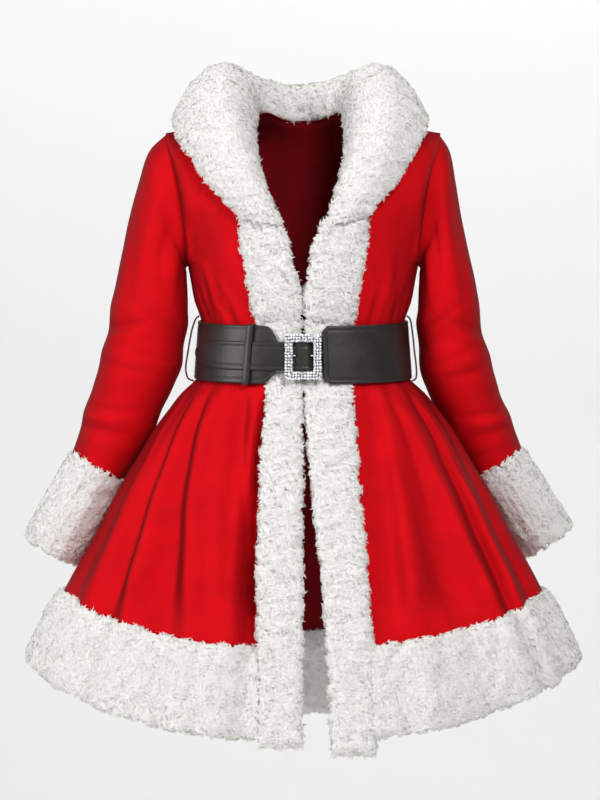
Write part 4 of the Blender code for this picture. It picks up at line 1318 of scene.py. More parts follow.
@dataclass
class Sleeve:
    """A sleeve, from the armhole to the cuff, with its elbow and wrist wrinkles.

    Attributes:
        form: the dress's form.
        finishes: the velvet's right side and wrong side.
        thickness: the velvet's thickness.
        tuck: how far the sleeve runs in under the cuff.
        rings, columns: how fine the tube is.
        cut: its flat size.
        rows: its rings from the armhole down.
        rolls, roll_width: soft rolls right round it, each a place as a share of its length and a height.
        creases, long_creases: listed creases, over its front and back, and down its length.
    """

    form: DressForm
    finishes: list[Material]
    thickness: float = 0.002
    tuck: float = 0.006
    rings: int = 92
    columns: int = 80
    cut: Cut = Cut(0.40, 0.50, 0.130)
    rows: dict[Side, tuple[SleeveRow, ...]] = field(default_factory=lambda: {
        Side.LEFT: rows_of(
            SleeveRow, (0.214, 0.05, 0.1625, 0.211, 0.054, 0.0), (0.228, 0.092, 0.1618, 0.218, 0.056, 0.0),
            (0.241, 0.14, 0.1614, 0.228, 0.057, 0.0), (0.251, 0.188, 0.1605, 0.244, 0.057, 0.001),
            (0.26, 0.232, 0.16, 0.266, 0.056, 0.002), (0.268, 0.274, 0.162, 0.298, 0.055, 0.004),
            (0.276, 0.314, 0.167, 0.336, 0.055, 0.008), (0.286, 0.354, 0.18, 0.374, 0.055, 0.013),
            (0.3, 0.392, 0.199, 0.416, 0.053, 0.02), (0.31, 0.43, 0.22, 0.458, 0.05, 0.03),
            (0.322, 0.464, 0.2497, 0.505, 0.048, 0.04),
        ),
        Side.RIGHT: rows_of(
            SleeveRow, (0.204, 0.05, 0.1625, 0.211, 0.053, 0.0), (0.212, 0.092, 0.1618, 0.218, 0.055, 0.0),
            (0.22, 0.14, 0.1614, 0.228, 0.056, 0.0), (0.23, 0.188, 0.1605, 0.244, 0.056, 0.001),
            (0.24, 0.232, 0.16, 0.266, 0.055, 0.003), (0.246, 0.276, 0.159, 0.296, 0.055, 0.01),
            (0.256, 0.318, 0.162, 0.34, 0.055, 0.02), (0.268, 0.358, 0.176, 0.386, 0.054, 0.034),
            (0.282, 0.396, 0.196, 0.428, 0.052, 0.048), (0.296, 0.43, 0.215, 0.464, 0.05, 0.06),
            (0.308, 0.46, 0.2377, 0.505, 0.048, 0.07),
        ),
    })
    rolls: tuple[tuple[float, float], ...] = (
        (0.52, 0.0016), (0.60, -0.0020), (0.67, 0.0016), (0.80, -0.0014), (0.87, 0.0016),
    )
    roll_width: float = 0.035
    # Creases placed one by one: across as a share of the length, down in degrees from the outer side over the front.
    creases: tuple[Crease, ...] = rows_of(
        Crease, (0.6, 8, 0.545, 100, 0.006, 0.013, -0.004), (0.625, 15, 0.585, 95, 0.004, 0.012, 0.003),
        (0.64, 40, 0.655, 150, 0.006, 0.012, -0.0032), (0.5, 60, 0.575, 165, 0.0, 0.014, -0.003),
        (0.69, 10, 0.7, 120, 0.01, 0.012, -0.0026), (0.84, 5, 0.815, 130, 0.012, 0.011, -0.0034),
        (0.872, 12, 0.85, 110, 0.01, 0.01, 0.0026), (0.91, 20, 0.885, 125, 0.008, 0.011, -0.0028),
        (0.945, 40, 0.925, 150, 0.004, 0.01, 0.002), (0.56, 190, 0.6, 330, 0.008, 0.014, -0.003),
        (0.65, 200, 0.66, 320, 0.006, 0.013, 0.0026), (0.85, 195, 0.83, 340, 0.01, 0.012, -0.0028),
        (0.9, 210, 0.91, 330, 0.006, 0.012, 0.0022),
    )
    # Long soft creases down the sleeve: across in degrees, down as a share of the length.
    long_creases: tuple[Crease, ...] = rows_of(
        Crease, (118, 0.02, 104, 0.42, -6.0, 11.0, -0.0038), (82, 0.04, 74, 0.36, -3.0, 12.0, 0.0026),
        (140, 0.05, 128, 0.48, -4.0, 9.0, 0.0024), (38, 0.25, 60, 0.58, 4.0, 10.0, -0.002),
        (236, 0.03, 250, 0.42, 5.0, 12.0, -0.003), (285, 0.05, 292, 0.5, 3.0, 12.0, 0.0024),
    )

    def grid(self, side: Side) -> Array:
        """Oval rings: middle + cos(turn) * half width + sin(turn) * half depth, smoothly joined to the armhole.

        Args:
            side: which side.

        Returns:
            Rings x points x 3, with one ring more that runs in under the cuff.
        """
        form, sign = self.form, side.sign
        turn = np.arange(self.columns)[:, None] * 2 * np.pi / self.columns
        drop = form.armhole_drop(turn)
        depth = np.abs(np.sin(turn)) * form.armhole_half_depth + form.half_gap
        side_x = form.yoke_value("side_x", drop) - self.tuck / 2
        rings = [np.concatenate([sign * side_x, -np.sign(np.sin(turn)) * depth, -drop], 1)]
        for row in self.rows[side]:
            outer = np.array([sign * row.outer_x, row.middle_y, -row.outer_drop])
            inner = np.array([sign * row.inner_x, row.middle_y, -row.inner_drop])
            forward = np.array([0.0, -row.half_depth, 0.0])
            rings.append((outer + inner) / 2 + np.cos(turn) * (outer - inner) / 2 + np.sin(turn) * forward)
        grid = smooth_rings(rings, self.rings)
        centre = grid.mean(1, keepdims=True)
        out = Surface(grid, True).outward(centre)
        share, degrees = np.linspace(0, 1, self.rings + 1)[:, None], np.degrees(turn.T)
        height = crease_height(self.creases, share, degrees) + crease_height(self.long_creases, degrees, share)
        for middle, roll in self.rolls:
            height = height + roll * np.exp(-(((share - middle) / self.roll_width) ** 2))
        grid = grid + out * height[..., None]
        last = unit(grid[-1] - grid[-4]) * self.tuck
        return np.concatenate([grid, grid[-1:] + last[None]])

    def build(self, side: Side) -> Object:
        """The sleeve as a closed shell.

        Args:
            side: which side.

        Returns:
            The sleeve.
        """
        grid = self.grid(side)
        out = Surface(grid, True).outward(grid.mean(1, keepdims=True))
        made = wall("velvet_sleeve_" + side.value, grid, grid - out * self.thickness, self.finishes, True)
        finish_piece(made, "red_velvet", "sleeve_" + side.value)
        return made


@dataclass(frozen=True)
class Tuft:
    """A small bent ribbon of fibres: two points at its root, two at its bend and one at its tip.

    Attributes:
        length, width: its usual size.
        length_range, width_range: the shares of it that are drawn.
        long_share, long_factor: how many tufts are longer, and how much.
        scatter, twist: how far it strays from the uphill way, and how far it curls to a side.
        rise, lean: how far its root stands up and leans.
        tip_rise: how far its tip stands up.
        bend_at, tip_reach: its two parts' lengths, as shares of its length.
        flat_turn: how far its flat side turns at random.
        bend_width: its width at the bend, as a share.
        root_depth: how far its root reaches into the slab.
        shade_spread: how far its shading follows its own form.
        heights: the pile height at its five points.
    """

    length: float = 0.0062
    width: float = 0.0027
    length_range: tuple[float, float] = (0.6, 1.15)
    width_range: tuple[float, float] = (0.7, 1.3)
    long_share: float = 0.12
    long_factor: float = 1.45
    scatter: float = 0.9
    twist: float = 0.8
    rise: float = 0.36
    lean: float = 0.85
    tip_rise: float = 0.12
    bend_at: float = 0.55
    tip_reach: float = 0.5
    flat_turn: float = 0.4
    bend_width: float = 0.85
    root_depth: float = 0.0006
    shade_spread: float = 0.16
    heights: tuple[float, ...] = (0.15, 0.15, 0.6, 0.6, 0.95)


def wrapped(grid: Array, row: Array, column: Array) -> Array:
    """The grid's points at a row and a column, which count on past its ends to its start."""
    return grid[row % grid.shape[0], column % grid.shape[1]]


def blended(grid: Array, row: Array, column: Array, down: Array, across: Array) -> Array:
    """Points inside the grid's cells: the cell's four corners, mixed by the shares down and across.

    Args:
        grid: the grid.
        row: each cell's row.
        column: each cell's column.
        down: how far down the cell, from 0 to 1.
        across: how far across it.

    Returns:
        One point for each cell.
    """
    near = wrapped(grid, row, column) * (1 - down) + wrapped(grid, row + 1, column) * down
    far = wrapped(grid, row, column + 1) * (1 - down) + wrapped(grid, row + 1, column + 1) * down
    return near * (1 - across) + far * across


@dataclass
class PlushTrim:
    """A piece of plush: a lumpy rounded slab round its backing, covered with small curled tufts.

    Attributes:
        finish: the plush.
        lumps, curls: the uneven heights that shape the slab and gather the tufts.
        lump_height, curl_height: how far they move the slab's surface.
        inset: how far the slab lies inside the pile's tips.
        section_power, section_columns: how squared the slab's section is, and how many points it has.
        tuft: the form of a tuft.
        face_area, back_area: the area of slab for each tuft on the outer and on the inner face.
        edge_share: how far the slab's edges lie inside the backing's, as a share of its width.
    """

    finish: Material
    lumps: WaveNoise = WaveNoise(0.021, 11)
    curls: WaveNoise = WaveNoise(0.0085, 12)
    lump_height: float = 0.0011
    curl_height: float = 0.0008
    inset: float = 0.0022
    section_power: float = 3.0
    section_columns: int = 40
    tuft: Tuft = Tuft()
    face_area: float = 4.0e-6
    back_area: float = 9e-6
    edge_share: float = 0.012

    def slab(self, mean: Array, centre: Array, half: Array, around: bool) -> Array:
        """The slab's rounded section carried along the piece.

        The section's points lie at turns from 0 to 2 pi: across the backing at (1 - cos^(2/n)) / 2, and above
        it by half * sin^(2/n), where n is section_power.

        Args:
            mean: the backing, along x across x 3.
            centre: what it faces away from.
            half: half the plush's thickness, for each row along.
            around: whether the rows along are closed into a ring.

        Returns:
            A grid, along x round the section x 3.
        """
        if around:
            turned = Surface(mean.transpose(1, 0, 2), True)
            out = turned.outward(centre.transpose(1, 0, 2)).transpose(1, 0, 2)
        else:
            out = Surface(mean).outward(centre)
        turn = np.arange(self.section_columns) * 2 * np.pi / self.section_columns
        across = (1 - signed_power(np.cos(turn), 2 / self.section_power)) / 2
        across = self.edge_share + (1 - 2 * self.edge_share) * across
        level = signed_power(np.sin(turn), 2 / self.section_power)
        at = across * (mean.shape[1] - 1)
        low = np.minimum(at.astype(int), mean.shape[1] - 2)
        share = (at - low)[None, :, None]
        place = mean[:, low] * (1 - share) + mean[:, low + 1] * share
        away = unit(out[:, low] * (1 - share) + out[:, low + 1] * share)
        return place + away * (level[None, :] * (half[:, None] - self.inset))[..., None]

    def uneven(self, slab: Array, out: Array) -> Array:
        """The slab moved in and out by its lumps and curls."""
        height = self.lump_height * self.lumps.height(slab) + self.curl_height * self.curls.height(slab)
        return slab + out * height[..., None]

    def tufts(self, slab: Array, out: Array, around: bool, seed: int) -> tuple[Array, Array, Array, Array]:
        """Small bent ribbons that stand on the slab and lean towards the crest of the nearest curl.

        The root's direction is part outward and part uphill on the curls, and past the bend it turns further over.
        The pile height is the tuft's own height times 0.7 + 0.6 * crest, where crest is 0.5 + 0.22 * the curls'. A
        lower pile height paints shade, between the curls' crests and at the roots.

        Args:
            slab: the slab's grid.
            out: its outward normals.
            around: whether the rows are closed into a ring.
            seed: which random places are used.

        Returns:
            Points, faces, shading normals and pile heights.
        """
        rng, shape = np.random.default_rng(seed), self.tuft
        rows, columns = slab.shape[:2]
        r, c = np.meshgrid(np.arange(rows if around else rows - 1), np.arange(columns), indexing="ij")
        edge_down = wrapped(slab, r + 1, c) - slab[r, c]
        edge_across = wrapped(slab, r, c + 1) - slab[r, c]
        area = np.linalg.norm(np.cross(edge_down, edge_across), axis=-1)
        outer_face = (c > 0) & (c < columns // 2)
        wanted = area / np.where(outer_face | (c % (columns // 2) == 0), self.face_area, self.back_area)
        count = (wanted + rng.random(wanted.shape)).astype(int).ravel()
        r, c = np.repeat(r.ravel(), count), np.repeat(c.ravel(), count)
        u, v = rng.random((2, len(r), 1))
        root, normal = blended(slab, r, c, u, v), unit(blended(out, r, c, u, v))
        uphill = self.curls.slope(root)
        uphill = unit(uphill - normal * (uphill * normal).sum(-1, keepdims=True))
        jitter = rng.normal(size=root.shape)
        jitter = unit(jitter - normal * (jitter * normal).sum(-1, keepdims=True))
        lean = unit(uphill + shape.scatter * jitter)
        each = (len(r), 1)
        curl = unit(lean + shape.twist * np.cross(normal, lean) * rng.choice([-1.0, 1.0], each))
        length = shape.length * rng.uniform(*shape.length_range, each)
        length = length * rng.choice([1.0, shape.long_factor], each, p=[1 - shape.long_share, shape.long_share])
        width = shape.width * rng.uniform(*shape.width_range, each)
        first = unit(shape.rise * normal + shape.lean * lean)
        bend = root + first * length * shape.bend_at
        tip = bend + unit(shape.tip_rise * normal + curl) * length * shape.tip_reach
        flat = unit(np.cross(first, normal + shape.flat_turn * jitter)) * width / 2
        root = root - normal * shape.root_depth
        narrow = flat * shape.bend_width
        points = np.stack([root - flat, root + flat, bend - narrow, bend + narrow, tip], 1)
        base = np.arange(len(r))[:, None, None] * 5
        faces = base + np.array([[0, 1, 3], [0, 3, 2], [2, 3, 4]])[None]
        # Painted shade: tufts between the curls' crests get a lower pile height and so a darker colour.
        crest = 0.5 + 0.22 * self.curls.height(points[:, 0])[:, None]
        pile = np.clip(np.array(shape.heights)[None] * (0.7 + 0.6 * crest), 0.0, 1.0)
        shading = unit(normal[:, None] + shape.shade_spread * unit(points - root[:, None] + 1e-5 * normal[:, None]))
        return points.reshape(-1, 3), faces.reshape(-1, 3), shading.reshape(-1, 3), pile.reshape(-1)

    def build(
        self, node: str, mean: Array, centre: Array, half: Array, cut: Cut, hangs_from: list[str],
        around: bool = False, seed: int = 1,
    ) -> Object:
        """Args:
            node: the CAD node that it stands for.
            mean: the backing, along x across x 3.
            centre: what the backing faces away from.
            half: half the plush's thickness, for each row along.
            cut: not used.
            hangs_from: not used.
            around: whether it is closed into a ring.
            seed: which random places the tufts have.

        Returns:
            The slab's object.
        """
        slab = self.slab(mean, centre, half, around)
        middle = np.broadcast_to(slab.mean(1, keepdims=True), slab.shape)
        closed = self.closed_normals(slab, middle, around)
        slab = self.uneven(slab, closed)
        faces = self.slab_faces(slab, around)
        made = build_mesh("plush_" + node, slab.reshape(-1, 3), faces, [self.finish])
        # Painted shade: the slab is darker in the curls' troughs, through a lower pile height.
        set_pile(made, np.clip(0.45 + 0.2 * self.curls.height(slab), 0.0, 1.0))
        points, tuft_faces, shading, pile = self.tufts(slab, closed, around, seed)
        coat = build_mesh("pile_" + node, points, tuft_faces, [self.finish])
        coat.data.normals_split_custom_set_from_vertices(shading)
        set_pile(coat, pile)
        finish_piece(made, "white_plush", node)
        finish_piece(coat, "white_plush")
        return made

    @staticmethod
    def closed_normals(slab: Array, middle: Array, around: bool) -> Array:
        """The slab's outward normals, closed round the section and, on a ring, along it as well.

        Args:
            slab: the slab's grid.
            middle: the middle of each section.
            around: whether its rows are closed into a ring.

        Returns:
            One normal for each point.
        """
        across = np.roll(slab, -1, 1) - np.roll(slab, 1, 1)
        along = np.roll(slab, -1, 0) - np.roll(slab, 1, 0) if around else np.gradient(slab, axis=0)
        found = unit(np.cross(across, along))
        return found * np.sign((found * (slab - middle)).sum(-1).mean())

    @staticmethod
    def slab_faces(slab: Array, around: bool) -> Array:
        """The slab's faces, with a flat cap at both ends if it isn't a ring.

        Args:
            slab: the slab's grid.
            around: whether its rows are closed into a ring.

        Returns:
            The faces, turned outwards.
        """
        rows, columns = slab.shape[:2]
        number = grid_numbers(rows, columns, across=True, along=around)
        parts = [cell_faces(number)]
        if not around:
            near = np.arange(columns // 2)
            cap = np.stack([near, near + 1, (-near - 1) % columns, (-near) % columns], 1)
            parts += [number[0][cap], number[-1][cap][:, ::-1]]
        return facing_out(slab.reshape(-1, 3), np.concatenate(parts))


@dataclass
class TrimSet:
    """The collar, front strips, hem bands and cuffs.

    Attributes:
        form: the dress's form.
        velvet: the velvet shell, whose panels the hem bands continue.
        plush: how a piece of plush is made.
        half: half the plush's thickness.
        half_under_belt, cuff_half: the same where the belt presses it, and on a cuff.
        strip_grid, collar_grid, hem_rows, hem_columns, cuff_grid: how fine the backings are.
        strip_overlap: how far a strip runs in under the collar.
        strip_top: the drop of its slanting upper end at its inner and its outer edge.
        strip_level_drop: where its rows are level.
        strip_bottom: the drop of its lower end.
        belt_press: where the belt presses it, from one drop to another, and how softly that begins and ends.
        end_rounding, end_share: how its lower end gets thinner: over what length and to what share.
        cuff_ends: the middles of a cuff's upper and lower ends.
        cuff_size: half its width and half its depth.
        collar_rows: the collar's sections from the nape to the front.
        collar_shift: how far it lies to the left at the nape.
        collar_start: where its backing begins, inside the seam, as a share of its width.
        cuts: each piece's flat size.
    """

    form: DressForm
    velvet: VelvetShell
    plush: PlushTrim
    half: float = 0.011
    half_under_belt: float = 0.005
    cuff_half: float = 0.008
    strip_grid: tuple[int, int] = (210, 13)
    strip_overlap: float = 0.010
    strip_top: tuple[float, float] = (0.1637, 0.1472)
    strip_level_drop: float = 0.260
    strip_bottom: dict[Side, float] = field(default_factory=lambda: {Side.LEFT: 0.858, Side.RIGHT: 0.868})
    belt_press: tuple[float, float, float] = (0.272, 0.394, 0.020)
    end_rounding: float = 0.016
    end_share: float = 0.35
    cuff_ends: dict[Side, tuple[tuple[float, float, float], tuple[float, float, float]]] = field(
        default_factory=lambda: {
            Side.LEFT: ((-0.2859, 0.040, -0.4845), (-0.3560, 0.056, -0.6080)),
            Side.RIGHT: ((0.2729, 0.070, -0.4825), (0.3480, 0.092, -0.5970)),
        }
    )
    cuff_size: tuple[float, float] = (0.0385, 0.0450)
    collar_rows: tuple[CollarRow, ...] = rows_of(
        CollarRow, ((0.0, 0.072, 0.0015), (0.0, 0.09, 0.112), (0.0, 0.111, -0.055)),
        ((0.045, 0.05, 0.01), (0.062, 0.072, 0.12), (0.118, 0.09, -0.045)),
        ((0.062, 0.022, 0.009), (0.086, 0.032, 0.13), (0.162, 0.042, -0.026)),
        ((0.064, -0.01, -0.006), (0.094, -0.016, 0.132), (0.175, -0.008, -0.01)),
        ((0.065, -0.045, -0.028), (0.102, -0.072, 0.078), (0.171, -0.05, -0.03)),
        ((0.063, -0.08, -0.062), (0.098, -0.125, -0.002), (0.153, -0.084, -0.064)),
        ((0.053, -0.106, -0.105), (0.08, -0.136, -0.074), (0.128, -0.104, -0.101)),
        ((0.04, -0.118, -0.14), (0.062, -0.133, -0.122), (0.101, -0.114, -0.13)),
        ((0.03, -0.117, -0.16), (0.056, -0.126, -0.152), (0.0855, -0.1115, -0.1435)),
    )
    collar_shift: float = -0.005
    collar_grid: tuple[int, int] = (170, 41)
    collar_start: float = -0.025
    hem_rows: int = 14
    hem_columns: dict[Panel, int] = field(
        default_factory=lambda: {Panel.LEFT: 145, Panel.RIGHT: 145, Panel.BACK: 290}
    )
    cuff_grid: tuple[int, int] = (120, 15)
    cuts: dict[str, Cut] = field(default_factory=lambda: {
        "collar": Cut(0.86, 0.20, 0.127),
        "front_strip_left": Cut(0.085, 0.73, 0.050),
        "front_strip_right": Cut(0.090, 0.74, 0.055),
        "hem_band_left": Cut(0.45, 0.15, 0.053),
        "hem_band_right": Cut(0.42, 0.15, 0.048),
        "hem_band_back": Cut(1.00, 0.15, 0.118),
        "cuff_left": Cut(0.27, 0.145, 0.039),
        "cuff_right": Cut(0.27, 0.145, 0.038),
    })

    def collar(self) -> Object:
        """The shawl collar: sections (1 - s)^2 seam + 2 s (1 - s) roll + s^2 edge, carried round the neck.

        Returns:
            The collar.
        """
        sections = [np.array([row.seam, row.roll, row.edge]) for row in self.collar_rows]
        mirror = np.array([-1.0, 1.0, 1.0])
        path = [section * mirror for section in sections[:0:-1]] + sections
        count, columns = self.collar_grid
        rows = smooth_rings(path, count)
        share = np.linspace(self.collar_start, 1, columns)[None, :, None]
        seam, roll, edge = (rows[:, None, i, :] for i in range(3))
        mean = (1 - share) ** 2 * seam + 2 * share * (1 - share) * roll + share**2 * edge
        from_back = np.abs(np.linspace(-1, 1, len(rows)))
        mean[..., 0] += self.collar_shift * (1 - from_back**2)[:, None]
        half = np.full(len(mean), self.half)
        hangs_from = ["velvet_bodice_back", "velvet_bodice_front_left", "velvet_bodice_front_right"]
        return self.plush.build("collar", mean, upright_line(mean), half, self.cuts["collar"], hangs_from, seed=3)

    def front_strip(self, side: Side) -> Object:
        """A front strip, pressed flat under the belt and rounded off at its lower end.

        Args:
            side: which side.

        Returns:
            The strip.
        """
        form, bottom = self.form, self.strip_bottom[side]
        top_inner, top_outer = self.strip_top
        rows, columns = self.strip_grid
        along = np.linspace(top_inner - self.strip_overlap, bottom, rows)
        share = np.linspace(0, 1, columns)[None, :]
        slant = (top_outer - top_inner) * share
        drop = along[:, None] + slant * (1 - soft_step(along[:, None], top_inner, self.strip_level_drop))
        inner, outer = form.strip_edge(side, "inner", drop), form.strip_edge(side, "outer", drop)
        x = inner + (outer - inner) * share
        mean = np.stack([side.sign * x, form.front_y(x, drop), -drop], -1)
        start, end, ease = self.belt_press
        pressed = soft_step(along, start, start + ease) * soft_step(end - along, 0.0, ease)
        fallen = soft_step(along, bottom - self.end_rounding, bottom)
        rounded = np.sqrt(np.clip(1 - fallen**2, self.end_share**2, 1.0))
        half = (self.half + (self.half_under_belt - self.half) * pressed) * rounded
        node = "front_strip_" + side.value
        hangs_from = ["velvet_bodice_front_" + side.value, "velvet_skirt_front_" + side.value]
        return self.plush.build(node, mean, upright_line(mean), half, self.cuts[node], hangs_from, seed=5)

    def band_top(self, angle: Array) -> Array:
        """The drop of a hem band's upper edge, just below the seam."""
        return self.form.seam_drop(angle) + self.form.half_gap

    def hem_band(self, panel: Panel) -> Object:
        """A hem band, which continues the skirt panel above it with the same folds.

        Args:
            panel: which panel.

        Returns:
            The band.
        """
        columns = self.hem_columns[panel]
        grid = self.velvet.panel_grid(panel, self.band_top, self.form.hem_drop, self.hem_rows, columns)
        mean = grid.transpose(1, 0, 2)
        node = "hem_band_" + panel.value
        above = "velvet_skirt_back" if panel is Panel.BACK else "velvet_skirt_front_" + panel.value
        half = np.full(len(mean), self.half)
        return self.plush.build(node, mean, upright_line(mean), half, self.cuts[node], [above], seed=7)

    def cuff(self, side: Side) -> Object:
        """A cuff: an oval tube from the sleeve's end to its mouth.

        Args:
            side: which side.

        Returns:
            The cuff.
        """
        top, bottom = (np.array(end) for end in self.cuff_ends[side])
        along = unit(bottom - top)
        width = unit(np.cross(along, [0.0, 1.0, 0.0]))
        count, columns = self.cuff_grid
        turn = np.linspace(0, 2 * np.pi, count + 1)[:-1, None, None]
        share = np.linspace(0, 1, columns)[None, :, None]
        middle = top + along * 2 * self.form.seam_gap + (bottom - top) * share
        half_width, half_depth = self.cuff_size
        round_it = half_width * np.cos(turn) * width + half_depth * np.sin(turn) * np.array([0.0, 1.0, 0.0])
        mean = middle + round_it
        centre = np.broadcast_to(middle, mean.shape)
        half = np.full(len(mean), self.cuff_half)
        node = "cuff_" + side.value
        hangs_from = ["velvet_sleeve_" + side.value]
        return self.plush.build(node, mean, centre, half, self.cuts[node], hangs_from, around=True, seed=9)


@dataclass
class Belt:
    """The belt: band, tongue and keeper, with creased edges, stitches and holes.

    Attributes:
        form: the dress's form.
        leather, thread: its finishes.
        thickness, tongue_thickness: how thick the band and the tongue are.
        clearance, front_clearance: its distance from the dress at the sides, and how much more at the front.
        half_height, tongue_half_height: half the heights of the band and the tongue.
        tongue_lowering: how far the tongue's middle line lies below the band's.
        crease_inset, crease_depth, crease_width: the creased line along an edge: how far in, how deep, how wide.
        edge_rounding, edge_fall: how far in an edge is rounded, and how deep.
        rows_across: how many points there are between the edges.
        left_end, right_end: the band's half height near its ends.
        end_columns: how many columns there are in its left end, round the waist and in its right end.
        tongue_ends: the x at which the tongue starts, at which its tip starts to be round, and of its tip.
        tongue_columns: how many columns there are in its straight part and in its tip.
        tongue_climb: where it rises from the buckle over the band.
        bar_half, bar_lift: where it rises over the buckle's bar, and how far.
        keeper_x, keeper_width, keeper_wall, keeper_room: the keeper's place and width, its leather, its looseness.
        keeper_swell: how much thicker it is along its middle.
        keeper_squareness: the powers that flatten its front and its ends. 1 is an ellipse.
        keeper_grid: how many points there are round it and across it.
        stitch_spacing, stitch_length, stitch_radius: the size of the stitches.
        band_runs, tongue_run: from where to where they run.
        stitch_lift: how high the tongue's skin lies.
        hole_places: the x of each hole.
        hole_rings: each ring of a hole: its radius and its level.
        hole_height: how far above the belt's middle line the holes are.
    """

    form: DressForm
    leather: Material
    thread: Material
    half_height: float = 0.0395
    thickness: float = 0.003
    tongue_thickness: float = 0.0026
    tongue_half_height: float = 0.0193
    tongue_lowering: float = 0.002
    clearance: float = 0.0015
    front_clearance: float = 0.0045
    crease_inset: float = 0.0058
    crease_depth: float = 0.0007
    crease_width: float = 0.0009
    edge_rounding: float = 0.0022
    edge_fall: float = 0.0011
    rows_across: int = 31
    left_end: tuple[BeltEnd, ...] = rows_of(
        BeltEnd, (-0.0045, 0.018), (-0.033, 0.018), (-0.0365, 0.0262), (-0.042, 0.0345), (-0.0475, 0.0388),
        (-0.055, 0.0395),
    )
    right_end: tuple[BeltEnd, ...] = rows_of(
        BeltEnd, (0.0245, 0.0315), (0.0325, 0.0395),
    )
    end_columns: tuple[int, int, int] = (44, 150, 12)
    tongue_ends: tuple[float, float, float] = (0.0240, -0.1000, -0.1405)
    tongue_columns: tuple[int, int] = (90, 24)
    tongue_climb: tuple[float, float] = (-0.016, -0.005)
    bar_half: float = 0.0085
    bar_lift: float = 0.0016
    keeper_x: float = -0.069
    keeper_width: float = 0.008
    keeper_wall: float = 0.0014
    keeper_room: float = 0.0005
    keeper_swell: float = 0.0008
    keeper_squareness: tuple[float, float] = (0.30, 0.14)
    keeper_grid: tuple[int, int] = (96, 15)
    stitch_spacing: float = 0.0036
    stitch_length: float = 0.0026
    stitch_radius: float = 0.00038
    band_runs: tuple[tuple[float, float], ...] = ((-0.0560, -0.1400), (0.0330, 0.1400))
    tongue_run: tuple[float, float] = (-0.0250, -0.1040)
    stitch_lift: float = 0.0062
    hole_places: tuple[float, ...] = (-0.0585, -0.0365, -0.0335)
    hole_rings: tuple[tuple[float, float], ...] = ((0.0013, 0.0063), (0.0009, 0.0064), (0.0002, 0.00635))
    hole_height: float = 0.0012

    def point(self, angle: Array, height: Array, level: Array) -> Array:
        """A point of the belt, straight between its edges: height above its middle line, and level out of it.

        Args:
            angle: angles round the dress, from the middle of the front.
            height: heights above the belt's middle line.
            level: distances out from the belt's inner face.

        Returns:
            The points.
        """
        form = self.form
        angle, height, level = np.broadcast_arrays(angle, height, level)
        middle = form.waist_drop + form.belt_dip * np.cos(angle)
        out = self.clearance + self.front_clearance * np.clip(np.cos(angle), 0, 1) ** 1.5 + level
        top = form.point(angle, middle - self.half_height, out, relief=False)
        bottom = form.point(angle, middle + self.half_height, out, relief=False)
        share = (0.5 - height / (2 * self.half_height))[..., None]
        return top + (bottom - top) * share

    def front_angle(self, x: Array) -> Array:
        """The angle at which the belt's line passes over x at the front.

        Args:
            x: places across the front.

        Returns:
            The angles.
        """
        x = np.asarray(x, float)
        half_width = from_table(self.form.body, "half_width", self.form.waist_drop)
        return np.sign(x) * self.form.oval_angle(np.abs(x), half_width)

    def across(self) -> Array:
        """Places from the top edge (1) to the bottom edge (-1), closer together near both edges."""
        return np.sin(np.linspace(1, -1, self.rows_across) * np.pi / 2)[:, None]

    def skin_level(self, from_edge: Array) -> Array:
        """How far the skin lies below its full level: rounded off at the edge, with a narrow crease inside it.

        Args:
            from_edge: distances from the nearest edge.

        Returns:
            Levels, 0 or lower.
        """
        u = np.clip(1 - from_edge / self.edge_rounding, 0.0, 1.0)
        crease = self.crease_depth * np.exp(-(((from_edge - self.crease_inset) / self.crease_width) ** 2))
        return -self.edge_fall * (1 - np.sqrt(1 - u**2)) - crease

    def strap(
        self, node: str, angle: Array, half: Array, lift: Array, thickness: float, lowering: float,
        end_distance: Array,
    ) -> Object:
        """A strap that follows the waist.

        Args:
            node: the CAD node that it stands for.
            angle: its columns' angles.
            half: its half height at each column.
            lift: how far its inner face is raised at each column.
            thickness: its thickness.
            lowering: how far its middle line lies below the belt's.
            end_distance: each column's distance from the strap's end, which the crease follows too.

        Returns:
            The object.
        """
        height = self.across() * half[None, :]
        from_edge = np.minimum(half[None, :] - np.abs(height), end_distance[None, :])
        level = lift[None, :] + thickness + self.skin_level(from_edge)
        outer = self.point(angle[None, :], height - lowering, level)
        inner = self.point(angle[None, :], height - lowering, lift[None, :])
        made = wall(node + "_strap", outer, inner, [self.leather])
        return finish_piece(made, "black_leatherette", node)

    def band(self) -> Object:
        """The wide band round the waist. Its left end narrows to a strap, and its right end's corners are cut.

        Returns:
            The band.
        """
        left_x, left_half = np.array(self.left_end).T
        right_x, right_half = np.array(self.right_end).T
        left_count, round_count, right_count = self.end_columns
        first = np.linspace(left_x[0], left_x[-1], left_count)
        last = np.linspace(right_x[-1], right_x[0], right_count)
        left, right = self.front_angle(first), self.front_angle(last) - 2 * np.pi
        round_it = np.linspace(left[-1], right[0], round_count)[1:-1]
        angle = np.concatenate([left, round_it, right])
        order = np.argsort(left_x)
        half = np.concatenate([
            np.interp(first, left_x[order], left_half[order]),
            np.full(len(round_it), self.half_height),
            np.interp(last, right_x, right_half),
        ])
        distance = np.full(len(angle), 1.0)
        distance[-len(last) :] = last - last[-1]
        distance[: len(first)] = first[0] - first
        return self.strap("belt_band", angle, half, 0 * angle, self.thickness, 0.0, distance)

